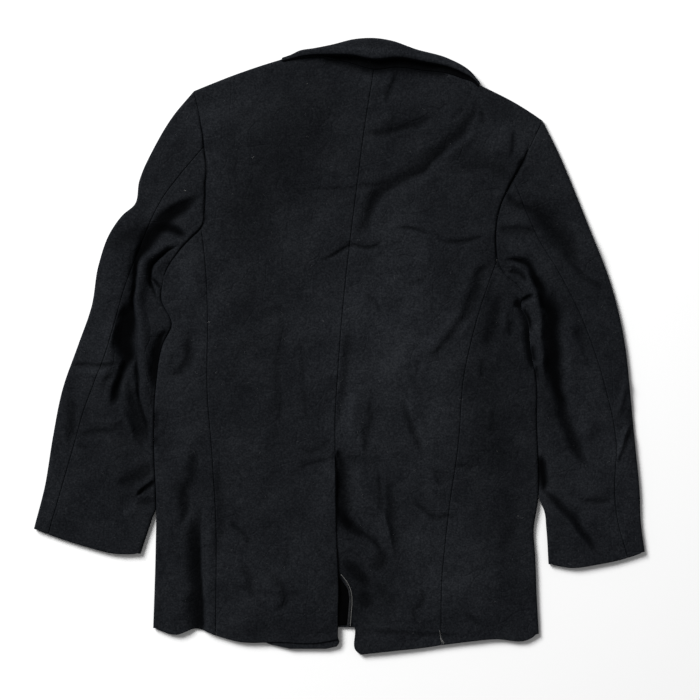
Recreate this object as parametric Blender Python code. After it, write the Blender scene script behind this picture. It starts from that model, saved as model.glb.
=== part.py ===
"""A wool pea coat laid flat, face down, with its back upwards.

Run it with: blender --background --python part.py

Axes: +X is to the coat's right, +Y towards its collar, +Z up. The coat rests on z = 0. Every panel
is a wall of cloth: a sheet of outer points, its inner points one wall thickness behind them, and the
cut edges between the two. The back's panels and the upper halves of the sleeves take their height
from one function, so their faces run on across each seam. Tables are in millimetres.
"""

import math

import bmesh
import bpy
import numpy as np
from mathutils import Vector
from mathutils.geometry import delaunay_2d_cdt

MM = 0.001
ORIGIN = (0.5, 0.1)  # the middle of the coat's outline, in the tables' millimetres

# The cloth and how it lies
WALL = 2.4  # melton wool
SEAM_GAP = 0.3  # between two panels at a seam, and between cloth that lies on cloth
LINING_WALL = 1.2
SLEEVE_GAP = 1.0  # between a sleeve's inner edge and the coat's side
EDGE_HEIGHT = 8.6  # top of the cloth where it folds round to the floor
MIDDLE_HEIGHT = 12.6  # top of the cloth away from the edges
RISE = 70.0  # how far in from an edge the cloth reaches its middle height
SHOULDER_UNDER = 8.0  # how far the back runs on under the shoulder to its seam
ARC_STEPS = 5  # faces round a fold

# Spacing of the points of a panel
EDGE_STEP = 19.0
INNER_STEP = 28.0
FLOOR_STEP = 40.0

# The double-breasted front
FRONT_OVERLAP = 88.0  # each front's reach past the centre line
RAMP = 16.0  # the right front comes down to the floor over this width
BUTTON_RADIUS = 15.0
BUTTON_HEIGHT = 3.0
BUTTON_COLUMN = 55.0  # from the centre line to each column
BUTTON_ROWS = (140.0, 20.0, -100.0)
DOME_FLAT = 16.5  # the cloth over a button is level inside this radius
DOME_FOOT = 27.0  # and back down outside this one
DOME_SIDES = 12

# The back vent
VENT_TOP = -144.0
VENT_PART = 14.0  # the flap and the underlap part in height over this length
VENT_NEAR = 24.0  # both are level this close to the vent
VENT_FAR = 74.0  # and meet the back's own height here
FLAP_HEIGHT = 11.2
UNDERLAP_HEIGHT = 7.8

WOOL = (0.0116, 0.0123, 0.0144)
LINING = (0.020, 0.021, 0.024)
BUTTON_BLACK = (0.012, 0.012, 0.013)

# Lines of the cut, as rows of x, y. Seams and edges run from the collar to the hem.
LEFT = {
    "shoulder": [(-77, 388), (-103, 380), (-138, 368), (-179, 352), (-196, 345)],
    "armhole": [(-196, 345), (-188, 310), (-181, 265), (-180, 215), (-181, 184), (-186, 160),
                (-200, 146), (-215, 130), (-231, 107), (-238, 90)],
    "edge": [(-238, 90), (-240, 64), (-226, 30), (-238, 2), (-247, -52), (-250, -130),
             (-247, -207), (-248, -288), (-251, -380)],
    "seam": [(-186, 160), (-181, 121), (-177, 43), (-177, -68), (-171, -146), (-166, -232),
             (-166, -390)],
    "hem": [(-166, -390), (-193, -381), (-220, -389), (-251, -380)],
    "side_seam": [(-205, 141), (-192, 70), (-190, -52), (-194, -200), (-196, -378)],
    "sleeve_outer": [(-196, 345), (-225, 310), (-250, 268), (-270, 223), (-276, 192),
                     (-292, 178), (-308, 156), (-325, 109), (-334, 55), (-352, 3), (-373, -56),
                     (-387, -125), (-397, -187), (-412, -246)],
    "sleeve_inner_end": [(-250, -226), (-256, -244), (-268, -280)],
    "cuff": [(-268, -280), (-300, -280), (-346, -269), (-394, -253), (-412, -246)],
    "elbow_seam": [(-182, 269), (-212, 234), (-238, 200), (-269, 134), (-289, 78), (-315, -11),
                   (-342, -80), (-366, -163), (-392, -253)],
    "forearm_seam": [(-205, 141), (-240, 106), (-264, 50), (-286, -80), (-296, -190),
                     (-307, -279)],
}
RIGHT = {
    "shoulder": [(190, 353), (211, 343), (238, 329), (262, 314), (275, 305)],
    "armhole": [(275, 305), (261, 276), (232, 219), (220, 194), (213, 165), (212, 134),
                (215, 115), (224, 97), (241, 83), (250, 71)],
    "edge": [(250, 71), (246, 55), (254, 36), (259, -5), (267, -52), (267, -99), (269, -156),
             (269, -207), (263, -249), (265, -281), (267, -335), (270, -388)],
    "seam": [(214, 118), (201, 83), (185, 33), (169, -36), (161, -130), (148, -225),
             (139, -314), (138, -403)],
    "hem": [(138, -403), (171, -399), (212, -395), (252, -397), (270, -388)],
    "side_seam": [(216, 112), (205, 60), (206, -40), (212, -150), (213, -380)],
    "sleeve_outer": [(275, 305), (297, 260), (321, 203), (344, 145), (364, 94), (377, 49),
                     (387, -2), (393, -59), (400, -132), (406, -194), (408, -240), (413, -277)],
    "sleeve_inner_end": [(270, -207), (277, -222), (280, -246), (283, -294)],
    "cuff": [(283, -294), (316, -299), (346, -295), (394, -284), (413, -277)],
    "elbow_seam": [(235, 225), (248, 194), (267, 149), (298, 97), (331, 29), (358, -52),
                   (374, -130), (372, -190), (376, -235), (390, -285)],
    "forearm_seam": [(216, 112), (252, 94), (281, 40), (302, -80), (318, -190), (322, -299)],
}
CENTRE_SEAM = [(47, 373), (43, 348), (35, 298), (23, 206), (14, 134), (3, 26), (-1, -30),
               (-5, -99), (-5, -144), (-5, -160)]
FLAP_EDGE = [(-5, -160), (-4, -276), (-1, -306), (0, -335), (-3, -346), (-3, -395)]
FLAP_HEM = [(-3, -395), (-30, -400), (-78, -399), (-138, -398), (-166, -390)]
UNDERLAP_EDGE = [(-5, -160), (-20, -178), (-22, -230), (-20, -288), (1, -306), (14, -326),
                 (17, -340), (15, -365), (21, -379), (23, -411), (29, -416)]
UNDERLAP_HEM = [(29, -416), (74, -411), (120, -406), (138, -403)]
BACK_NECK = [(-77, 384), (-62, 387), (-31, 390), (11, 383), (47, 373), (78, 376), (113, 372),
             (144, 368), (166, 361), (182, 355), (189, 348)]
FRONT_NECK = [(-72.5, 376.5), (-45, 350), (0, 327), (42, 320), (90, 326), (140, 334), (184, 342)]
FRONT_HEM = [(-196, -378), (-100, -379), (100, -379), (213, -380)]
COLLAR_EDGE = [(-77, 392), (-53, 401), (-11, 407), (23, 415), (49, 416), (69, 413), (104, 401),
               (147, 389), (176, 373), (190, 357.5)]
COLLAR_NECK_ENDS = ((-75, 384.1), (187.6, 349.5))
HEM_DROP = [(-109, -395), (-94, -402), (-66, -408), (-18, -408), (-3, -405), (1, -399),
            (-4, -386), (-60, -386), (-104, -386)]
LINING_PATCH = [(-26, -300), (-5, -307), (8, -322), (13, -332), (14.5, -342), (12, -366),
                (10, -376), (-26, -376)]

# The collar's section. Its wall rises from the back neck seam, rolls over and runs to the floor.
ROLL_END = 11.5  # height of the roll at the collar's ends
ROLL_MIDDLE = 25.0
COLLAR_RISE = [
    # share of the way out, share of the way from the neck's height to the roll's
    (0.14, 0.00), (0.28, 0.04), (0.36, 0.34), (0.42, 0.74), (0.50, 0.94),
]
COLLAR_ROLL = [
    # share of the way out, share of the roll's height
    (0.62, 1.00), (0.76, 0.95), (0.88, 0.80), (0.96, 0.58), (1.00, 0.34), (0.975, 0.12),
    (0.90, 0.00),
]

# Folds: a ridge where rise is over zero, a trough where it is under, along a curve of three points
FOLDS = [
    # from_x, from_y, by_x, by_y, to_x, to_y, half_width, rise
    (182, 335, 96, 232, 34, 159, 15.0, -3.0),  # shoulder to centre seam
    (196, 300, 120, 215, 62, 140, 20.0, 2.2),
    (110, 307, 78, 291, 46, 286, 8.0, -1.6),
    (206, 113, 186, 88, 178, 50, 9.0, -3.2),  # right side-back seam's top
    (229, 84, 214, 30, 208, -40, 14.0, 2.6),
    (43, -70, 41, -110, 36, -150, 8.0, -2.0),
    (88, -78, 108, -108, 122, -137, 8.0, -2.2),
    (56, -160, 60, -215, 78, -279, 7.5, -2.6),  # right skirt
    (72, -160, 78, -212, 92, -270, 9.0, 3.2),
    (93, -210, 122, -229, 156, -232, 8.0, -2.4),
    (24, -262, 26, -276, 24, -292, 12.0, 3.4),
    (-190, -236, -194, -290, -190, -378, 7.5, -3.4),  # left side-back seam's lower end
    (-172, -236, -176, -300, -173, -380, 9.0, 2.6),
    (-215, 10, -208, -120, -212, -260, 15.0, 1.8),
    (-76, 0, -77, -40, -75, -84, 8.0, -1.6),
    (-49, -18, -50, -60, -49, -100, 8.0, -1.6),
    (-166, 318, -172, 300, -176, 270, 26.0, 3.0),  # left shoulder pad
    (228, 300, 220, 280, 212, 250, 26.0, 3.0),  # right shoulder pad
    (-200, 196, -258, 138, -277, 28, 8.5, -6.0),  # left sleeve, under the armhole
    (-222, 218, -284, 140, -303, 20, 14.0, 7.0),
    (-226, 150, -252, 78, -256, 14, 10.5, 9.0),
    (-278, 14, -284, -30, -305, -62, 8.5, -6.0),
    (-300, 6, -312, -40, -336, -84, 13.0, 5.6),
    (-270, -24, -270, -76, -268, -125, 7.5, -3.6),
    (-350, -24, -334, -26, -318, -24, 8.0, -2.2),  # left elbow
    (-352, -114, -332, -118, -310, -116, 8.0, -2.2),
    (232, 200, 298, 136, 356, 80, 13.0, -4.0),  # right sleeve, shoulder side
    (262, 214, 318, 160, 366, 100, 15.0, 4.6),
    (230, 116, 270, 92, 283, 26, 9.0, -7.0),  # right sleeve, the deep fold
    (283, 26, 300, -50, 340, -160, 9.5, -8.0),
    (250, 150, 300, 96, 312, 16, 14.0, 7.6),
    (316, 30, 326, -50, 362, -140, 15.0, 7.6),
    (262, 74, 273, 0, 279, -70, 9.0, 8.0),
    (285, -80, 298, -130, 318, -180, 12.0, 6.4),
    (272, -178, 276, -186, 274, -196, 8.0, -4.6),  # right sleeve, above the cuff
    (276, -194, 320, -240, 354, -284, 8.0, -4.4),
    (292, -186, 334, -226, 366, -262, 11.0, 4.6),
    (388, -106, 376, -140, 374, -180, 9.0, 3.4),
]


def smooth_line(rows, step=1.5):
    """Closely spaced points on a smooth curve through the rows of a table."""
    rows = np.array(rows, float)
    lengths = np.linalg.norm(np.diff(rows, axis=0), axis=1)
    slopes = np.diff(rows, axis=0) / lengths[:, None]
    tangents = np.vstack([slopes[:1], slopes, slopes[-1:]])
    before = np.concatenate([lengths[:1], lengths])[:, None]
    after = np.concatenate([lengths, lengths[-1:]])[:, None]
    tangents = (tangents[:-1] * after + tangents[1:] * before) / (before + after)
    points = []
    for i, length in enumerate(lengths):
        t = np.linspace(0, 1, max(2, round(length / step)), endpoint=False)[:, None]
        points.append(
            (2 * t**3 - 3 * t**2 + 1) * rows[i]
            + (t**3 - 2 * t**2 + t) * length * tangents[i]
            + (3 * t**2 - 2 * t**3) * rows[i + 1]
            + (t**3 - t**2) * length * tangents[i + 1]
        )
    return np.vstack(points + [rows[-1:]])


def along(line):
    """Distance along the line at each of its points."""
    return np.concatenate([[0], np.cumsum(np.linalg.norm(np.diff(line, axis=0), axis=1))])


def evenly(line, step):
    """The line in equal lengths of about this step, with both its ends."""
    distance = along(line)
    marks = np.linspace(0, distance[-1], max(1, round(distance[-1] / step)) + 1)
    return np.column_stack([np.interp(marks, distance, line[:, k]) for k in (0, 1)])


def tangents_of(line):
    ahead = np.gradient(line, axis=0)
    return ahead / np.linalg.norm(ahead, axis=1)[:, None]


def left_of(directions):
    return np.column_stack([-directions[:, 1], directions[:, 0]])


def shifted(line, amount):
    """The line moved sideways, to its left where amount is over zero."""
    return line + amount * left_of(tangents_of(line))


def nearest(line, point):
    return int(np.argmin(np.linalg.norm(line - np.array(point, float), axis=1)))


def between(line, first, last):
    """The stretch of a close line between its points nearest to two others."""
    return line[nearest(line, first) : nearest(line, last) + 1]


def distance_to(points, line):
    """Distance from each point to a line of straight pieces, and how far along it that is, 0 to 1."""
    best = np.full(len(points), np.inf)
    where = np.zeros(len(points))
    distance = along(line)
    for a, b, start, end in zip(line, line[1:], distance, distance[1:]):
        ahead = b - a
        t = np.clip((points - a) @ ahead / (ahead @ ahead), 0, 1)
        away = np.linalg.norm(points - a - t[:, None] * ahead, axis=1)
        closer = away < best
        best[closer] = away[closer]
        where[closer] = (start + t[closer] * (end - start)) / distance[-1]
    return best, where


def inside(points, loop):
    """Which points lie inside a closed loop."""
    found = np.zeros(len(points), bool)
    for (ax, ay), (bx, by) in zip(loop, np.roll(loop, -1, axis=0)):
        if ay == by:
            continue
        spans = (points[:, 1] > min(ay, by)) & (points[:, 1] <= max(ay, by))
        crossing = ax + (points[:, 1] - ay) * (bx - ax) / (by - ay)
        found ^= spans & (crossing > points[:, 0])
    return found


def ease(t):
    t = np.clip(t, 0, 1)
    return t * t * (3 - 2 * t)


def unit(vector):
    return vector / np.linalg.norm(vector)


LINES = {
    side: {name: smooth_line(rows) for name, rows in table.items()}
    for side, table in (("left", LEFT), ("right", RIGHT))
}

OUTLINE = [
    evenly(LINES[side][name], 14)
    for side in LINES
    for name in ("shoulder", "edge", "hem", "sleeve_outer", "sleeve_inner_end", "cuff")
]
OUTLINE += [evenly(smooth_line(rows), 14) for rows in (FLAP_HEM, UNDERLAP_HEM)]
OUTLINE.append(evenly(smooth_line(COLLAR_EDGE), 14))

FOLD_LINES = []
for fold in FOLDS:
    start, middle, end = (np.array(fold[k : k + 2], float) for k in (0, 2, 4))
    t = np.linspace(0, 1, 13)[:, None]
    control = 2 * middle - (start + end) / 2
    FOLD_LINES.append((1 - t) ** 2 * start + 2 * t * (1 - t) * control + t**2 * end)


def centre_of_front(y):
    return 9.5 + 0.1 * np.maximum(y, VENT_TOP)


BUTTONS = [
    (centre_of_front(y) + side * BUTTON_COLUMN, y) for y in BUTTON_ROWS for side in (-1, 1)
]


def dome(points):
    """How far the fronts are lifted by the buttons under them."""
    lift = np.zeros(len(points))
    for button in BUTTONS:
        away = np.linalg.norm(points - button, axis=1)
        lift = np.maximum(lift, np.clip((DOME_FOOT - away) / (DOME_FOOT - DOME_FLAT), 0, 1))
    return lift * (BUTTON_HEIGHT + SEAM_GAP)


def front_right_base(points):
    past = points[:, 0] - centre_of_front(points[:, 1]) - FRONT_OVERLAP - 1
    return (WALL + SEAM_GAP) * (1 - np.clip(past / RAMP, 0, 1)) + dome(points)


def free_height(points):
    """The top of the cloth, from its distance to the coat's edges and from the folds."""
    from_edge = np.min([distance_to(points, line)[0] for line in OUTLINE], axis=0)
    height = EDGE_HEIGHT + (MIDDLE_HEIGHT - EDGE_HEIGHT) * ease(from_edge / RISE)
    for fold, line in zip(FOLDS, FOLD_LINES):
        half_width, rise = fold[6:]
        away, where = distance_to(points, line)
        fade = ease(np.minimum(where, 1 - where) / 0.22 + 0.25)
        height = height + rise * fade * np.exp(-((away / half_width) ** 2))
    return height


def resting_height(points):
    """The lowest that the top of the cloth can lie: on the fronts, or on the floor layer."""
    across = points[:, 0] - centre_of_front(points[:, 1])
    over_both = ease((across + FRONT_OVERLAP + 24) / 20) * ease((FRONT_OVERLAP + 38 - across) / 20)
    return 2 * (WALL + SEAM_GAP) - SEAM_GAP + (WALL + SEAM_GAP) * over_both + dome(points)


def cloth_height(points):
    """The top of the cloth, softly kept above what it lies on."""
    lowest = resting_height(points)
    spare = free_height(points) - lowest
    return lowest + 0.5 * (spare + np.sqrt(spare**2 + 1.0))


def vent_nearness(points):
    across = np.abs(points[:, 0] + 3)
    beside = 1 - ease((across - VENT_NEAR) / (VENT_FAR - VENT_NEAR))
    return beside * ease((VENT_TOP - points[:, 1]) / VENT_PART)


def back_left_height(points):
    near = vent_nearness(points)
    return cloth_height(points) * (1 - near) + FLAP_HEIGHT * near


def back_right_height(points):
    near = vent_nearness(points)
    past_flap = ease((points[:, 0] - 4) / 14)
    bulge = (free_height(points) - MIDDLE_HEIGHT) * past_flap
    resting = UNDERLAP_HEIGHT + np.clip(bulge, 0, 4)
    return cloth_height(points) * (1 - near) + resting * near


class Sheet:
    """A wall of cloth, built from its outer points and the direction each faces."""

    def __init__(self, height, base=None):
        self.height, self.base = height, base
        self.points, self.facing, self.triangles = [], [], []

    def put(self, points, facing):
        first = len(self.points)
        self.points.extend(points)
        self.facing.extend(facing)
        return list(range(first, len(self.points)))

    def on_top(self, plan):
        plan = np.asarray(plan, float).reshape(-1, 2)
        slope_x = self.height(plan + (0.5, 0)) - self.height(plan - (0.5, 0))
        slope_y = self.height(plan + (0, 0.5)) - self.height(plan - (0, 0.5))
        facing = np.column_stack([-slope_x, -slope_y, np.ones(len(plan))])
        facing /= np.linalg.norm(facing, axis=1)[:, None]
        return self.put(np.column_stack([plan, self.height(plan)]), facing)

    def on_floor(self, plan):
        plan = np.asarray(plan, float).reshape(-1, 2)
        z = self.base(plan) if self.base else np.zeros(len(plan))
        return self.put(np.column_stack([plan, z]), np.tile((0.0, 0.0, -1.0), (len(plan), 1)))

    def round_edge(self, edge, out):
        """Half circles from the top layer to the floor, one at each point of a fold's edge."""
        middle, radius = fold_middle(self.height, edge, out)
        rings = []
        for angle in np.linspace(0, math.pi, ARC_STEPS + 1):
            plan = middle + radius[:, None] * math.sin(angle) * out
            z = radius * (1 + math.cos(angle))
            up = np.full(len(edge), math.cos(angle))
            rings.append(
                self.put(
                    np.column_stack([plan, z]), np.column_stack([math.sin(angle) * out, up])
                )
            )
        for ring, following in zip(rings, rings[1:]):
            self.strip(ring, following)
        return rings[0], rings[-1]

    def strip(self, ring, following):
        for a, b, c, d in zip(ring, ring[1:], following[1:], following):
            self.triangles += [(a, b, c), (a, c, d)]

    def fill(self, loop, place, step, follow_folds=False, creases=()):
        """Triangles inside a loop of points, with further points that the place function puts."""
        plan = np.array([self.points[i][:2] for i in loop])
        extra = []
        ties = [(k, (k + 1) % len(loop)) for k in range(len(loop))]
        for crease in creases:
            first = len(loop) + len(extra)
            extra.extend(crease)
            ties += [(k, k + 1) for k in range(first, first + len(crease) - 1)]
        extra += inner_points(plan, step, follow_folds, np.array(extra).reshape(-1, 2))
        spots = np.vstack([plan, np.array(extra).reshape(-1, 2)])
        made = delaunay_2d_cdt([Vector(p) for p in spots], ties, [], 0, 1e-4, True)
        index = list(loop) + (place(extra) if extra else [])
        corners = np.array([[made[3][k][0] for k in triangle] for triangle in made[2]])
        for triangle in corners[inside(spots[corners].mean(axis=1), plan)]:
            self.triangles.append(tuple(index[k] for k in triangle))

    def solid(self, name, colour, wall=WALL):
        outer = np.array(self.points)
        inner = outer - wall * np.array(self.facing)
        count = len(outer)
        faces = list(self.triangles) + [tuple(count + k for k in f[::-1]) for f in self.triangles]
        sides = {}
        for face in self.triangles:
            for a, b in zip(face, face[1:] + face[:1]):
                sides.setdefault((min(a, b), max(a, b)), []).append((a, b))
        for uses in sides.values():
            if len(uses) == 1:
                # The same diagonal on both sides of a seam, so that their cut edges match.
                a, b = sorted(uses[0], key=lambda k: (outer[k][1], outer[k][0]))
                faces += [(a, b, count + b), (a, count + b, count + a)]
        make_object(name, np.vstack([outer, inner]), faces, colour, 0.95)


def inner_points(loop, step, follow_folds, taken):
    """Points to put inside a loop: across each fold, then an even pattern in the rest."""
    wanted = []
    if follow_folds:
        for fold, line in zip(FOLDS, FOLD_LINES):
            half_width = fold[6]
            middle = evenly(line, max(14.0, 1.6 * half_width))
            for share in (0.0, -0.75, 0.75, -1.6, 1.6):
                wanted.append((shifted(middle, share * half_width), 0.55 * half_width))
    low, high = loop.min(axis=0), loop.max(axis=0)
    rows = np.arange(low[1] + step / 3, high[1], step * 0.87) if step else ()
    for k, y in enumerate(rows):
        x = np.arange(low[0] + step * (0.3 + 0.5 * (k % 2)), high[0], step)
        wanted.append((np.column_stack([x, np.full(len(x), y)]), 0.72 * step))
    kept = np.vstack([loop, taken])
    fresh = []
    closed = np.vstack([loop, loop[:1]])
    for points, apart in wanted:
        points = points[inside(points, loop)]
        if not len(points):
            continue
        from_edge = distance_to(points, closed)[0]
        for point, away in zip(points, from_edge):
            room = np.min(np.linalg.norm(kept - point, axis=1))
            if away > min(apart, 8.0) * 0.8 and room > apart:
                kept = np.vstack([kept, point])
                fresh.append(point)
    return fresh


def make_object(name, points, faces, colour, roughness):
    mesh = bpy.data.meshes.new(name)
    points = (np.asarray(points) - (*ORIGIN, 0)) * MM
    mesh.from_pydata(points.tolist(), [], [tuple(f) for f in faces])
    shape = bmesh.new()
    shape.from_mesh(mesh)
    bmesh.ops.recalc_face_normals(shape, faces=shape.faces)
    shape.to_mesh(mesh)
    shape.free()
    mesh.shade_smooth()
    mesh.set_sharp_from_angle(angle=math.radians(50))
    material = bpy.data.materials.new(name)
    material.use_nodes = True
    surface = material.node_tree.nodes["Principled BSDF"]
    surface.inputs["Base Color"].default_value = (*colour, 1.0)
    surface.inputs["Roughness"].default_value = roughness
    surface.inputs["Metallic"].default_value = 0.0
    mesh.materials.append(material)
    bpy.context.scene.collection.objects.link(bpy.data.objects.new(name, mesh))


def outward(edge, turn, first=None, last=None, blend=26.0):
    """Directions out of a fold's edge, turned to given ones at its ends."""
    out = turn * left_of(tangents_of(edge))
    distance = along(edge)
    for given, from_end in ((first, distance), (last, distance[-1] - distance)):
        if given is not None:
            share = ease(from_end / blend)[:, None]
            out = given * (1 - share) + out * share
    return out / np.linalg.norm(out, axis=1)[:, None]


def armhole_of(side, toward_body):
    """The armhole's line with half a seam gap on one side, and the directions in which it ends."""
    line = LINES[side]["armhole"]
    to_plus_x = (side == "left") == toward_body
    return (
        shifted(line, (1 if to_plus_x else -1) * SEAM_GAP / 2),
        unit(line[0] - line[4]),
        unit(line[-1] - line[-5]),
    )


def seam_stretch(line, first, last, step=EDGE_STEP):
    return evenly(between(line, first, last), step)


def joined(line, other):
    """The line with its first point moved to the nearest point of another."""
    return np.vstack([other[nearest(other, line[0])], line[1:]])


def pulled(line, start, end):
    """The line without its first and last few millimetres."""
    distance = along(line)
    keep = (distance >= start) & (distance <= distance[-1] - end)
    return line[keep]


def fold_middle(height, edge, out):
    """Centres and radii of the half circles in which the cloth folds round an edge."""
    radius = np.full(len(edge), EDGE_HEIGHT / 2)
    for _ in range(4):
        radius = height(edge - radius[:, None] * out) / 2
    return edge - radius[:, None] * out, radius


def shoulder_of(side):
    """The shoulder's edge, its outward directions and the line of the seam under it."""
    armhole, at_tip, _ = armhole_of(side, True)
    edge = evenly(LINES[side]["shoulder"], EDGE_STEP)
    edge[-1] = armhole[0]
    out = outward(edge, -1 if side == "left" else 1, last=at_tip)
    height = back_left_height if side == "left" else back_right_height
    return edge, out, fold_middle(height, edge, out)[0] - SHOULDER_UNDER * out


def upper_armhole(side, armhole):
    """Armhole points from the shoulder fold to the elbow seam."""
    return seam_stretch(pulled(armhole, 5, 0), armhole[0], LINES[side]["elbow_seam"][0])[1:]


def middle_armhole(side, armhole):
    """Armhole points from the elbow seam to the side-back seam."""
    return seam_stretch(armhole, LINES[side]["elbow_seam"][0], LINES[side]["seam"][0])


def lower_armhole(side, armhole):
    """Armhole points from the side-back seam to the underarm fold."""
    return seam_stretch(pulled(armhole, 0, 5), LINES[side]["seam"][0], armhole[-1])[:-1]


def floor_armhole(side, armhole):
    """Armhole points of the floor layer, from the shoulder seam up to the side seam."""
    return seam_stretch(armhole, shoulder_of(side)[2][-1], LINES[side]["side_seam"][0])[:-1]


def floor_underarm(side, armhole):
    """Armhole points of the floor layer, between the side seam and the underarm fold."""
    whole = pulled(armhole, 0, 5)
    return seam_stretch(whole, LINES[side]["side_seam"][0], whole[-1])[1:-1]


def neck_stations():
    """Points of the back neck seam, collar edge and front neck seam, one of each at a station."""
    back, edge, front = (smooth_line(rows) for rows in (BACK_NECK, COLLAR_EDGE, FRONT_NECK))
    back = between(back, *COLLAR_NECK_ENDS)
    halves = []
    for part in ("left", "right"):
        pieces = []
        for line, middle in ((back, CENTRE_SEAM[0]), (edge, (52, 416)), (front, (50, 320))):
            k = nearest(line, middle)
            pieces.append(line[: k + 1] if part == "left" else line[k:])
        count = round(along(pieces[0])[-1] / 13)
        halves.append([evenly(line, along(line)[-1] / count) for line in pieces])
    left, right = halves
    return [np.vstack([a, b[1:]]) for a, b in zip(left, right)], len(left[0]) - 1


def make_back(side):
    lines = LINES[side]
    turn = -1 if side == "left" else 1
    sheet = Sheet(back_left_height if side == "left" else back_right_height)
    armhole = armhole_of(side, True)[0]
    edge, out, seam_under = shoulder_of(side)
    ring, floor_ring = sheet.round_edge(edge, out)
    sheet.strip(floor_ring, sheet.on_floor(seam_under))

    side_seam = joined(evenly(lines["seam"], EDGE_STEP), armhole)
    side_seam = shifted(side_seam, -turn * SEAM_GAP / 2)
    arm = np.vstack([upper_armhole(side, armhole), middle_armhole(side, armhole)[1:-1]])
    centre = shifted(evenly(smooth_line(CENTRE_SEAM), EDGE_STEP), turn * SEAM_GAP / 2)
    (neck, _, _), middle = neck_stations()
    if side == "left":
        vent = evenly(smooth_line(FLAP_EDGE), 15)[1:-1]
        hem = evenly(smooth_line(FLAP_HEM), EDGE_STEP)[:-1]
        neck = neck[1:middle][::-1]
    else:
        vent = evenly(smooth_line(UNDERLAP_EDGE), 11)[1:-1]
        hem = evenly(smooth_line(UNDERLAP_HEM), EDGE_STEP)[:-1]
        neck = neck[middle + 1 : -1]
    rest = np.vstack([arm, side_seam, hem[::-1], vent[::-1], centre[::-1], neck])
    sheet.fill(ring + sheet.on_top(rest), sheet.on_top, INNER_STEP, follow_folds=True)
    sheet.solid(f"back_{side}", WOOL)


def make_side(side):
    """The side-back panel, from the side-back seam round the fold to the side seam on the floor."""
    lines = LINES[side]
    turn = -1 if side == "left" else 1
    sheet = Sheet(cloth_height)
    armhole, _, at_underarm = armhole_of(side, True)
    edge = evenly(lines["edge"], EDGE_STEP)
    edge[0] = armhole[-1]
    out = outward(edge, turn, first=at_underarm)
    ring, floor_ring = sheet.round_edge(edge, out)
    seam = shifted(joined(evenly(lines["seam"], EDGE_STEP), armhole), turn * SEAM_GAP / 2)
    hem = evenly(pulled(lines["hem"], 0, 8), EDGE_STEP)
    rest = np.vstack([hem[::-1], seam[::-1][1:], lower_armhole(side, armhole)[1:]])
    sheet.fill(ring + sheet.on_top(rest), sheet.on_top, INNER_STEP, follow_folds=True)
    side_seam = joined(evenly(lines["side_seam"], FLOOR_STEP), armhole)
    side_seam = shifted(side_seam, turn * SEAM_GAP / 2)
    rest = np.vstack([side_seam[::-1], floor_underarm(side, armhole)])
    sheet.fill(floor_ring + sheet.on_floor(rest), sheet.on_floor, None)
    sheet.solid(f"side_{side}", WOOL)


def sleeve_inner_edge(side):
    """The sleeve's edge beside the coat, from the underarm to the cuff."""
    lines = LINES[side]
    armhole = armhole_of(side, False)[0]
    turn = -1 if side == "left" else 1
    beside = between(lines["edge"], lines["edge"][0], lines["sleeve_inner_end"][0])
    grow = ease(along(beside) / 30)[:, None]
    beside = beside + turn * (SEAM_GAP / 2 + (SLEEVE_GAP - SEAM_GAP / 2) * grow) * (1, 0)
    end = lines["sleeve_inner_end"]
    whole = evenly(np.vstack([beside[:-4], end[4:]]), EDGE_STEP)
    whole[0] = armhole[-1]
    return whole


def make_sleeve(side):
    """The upper and the under sleeve, which meet at the elbow seam and the forearm seam."""
    lines = LINES[side]
    turn = -1 if side == "left" else 1
    armhole, at_tip, at_underarm = armhole_of(side, False)
    for part in ("upper", "under"):
        upper = part == "upper"
        sheet = Sheet(cloth_height)
        if upper:
            edge = evenly(lines["sleeve_outer"], EDGE_STEP)
            edge[0] = armhole[0]
            out = outward(edge, turn, first=at_tip)
        else:
            edge = sleeve_inner_edge(side)
            out = outward(edge, -turn, first=at_underarm)
        to_seam = turn * SEAM_GAP / 2 * (1 if upper else -1)
        ring, floor_ring = sheet.round_edge(edge, out)
        cuff = lines["cuff"][::-1] if upper else lines["cuff"]
        for layer, seam_name, place in (
            (ring, "elbow_seam", sheet.on_top),
            (floor_ring, "forearm_seam", sheet.on_floor),
        ):
            on_floor = seam_name == "forearm_seam"
            step = FLOOR_STEP if on_floor else EDGE_STEP
            seam = shifted(joined(evenly(lines[seam_name], step), armhole), to_seam)
            end = between(cuff, cuff[0], seam[-1])
            hem = evenly(pulled(end, 7, 0), EDGE_STEP)[:-1]
            if on_floor:
                arm = floor_armhole(side, armhole)[::-1] if upper else floor_underarm(side, armhole)
            elif upper:
                arm = upper_armhole(side, armhole)[:-1][::-1]
            else:
                arm = np.vstack(
                    [middle_armhole(side, armhole)[1:], lower_armhole(side, armhole)[1:]]
                )
            rest = np.vstack([hem, seam[::-1], arm])
            inner_step = None if on_floor else INNER_STEP
            sheet.fill(layer + place(rest), place, inner_step, follow_folds=not on_floor)
        sheet.solid(f"{part}_sleeve_{side}", WOOL)


def on_line_at(line, x):
    """The point of a left-to-right line at a given x."""
    return np.array([x, np.interp(x, line[:, 0], line[:, 1])])


def with_cuts(rows, cuts):
    """A right-to-left line with further points in it, in place of its own where they are close."""
    far = [np.min(np.abs(x - np.array(cuts)[:, 0])) > 3 for x in rows[:, 0]]
    rows = np.vstack([rows[far], cuts])
    return rows[np.argsort(-rows[:, 0])]


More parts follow.
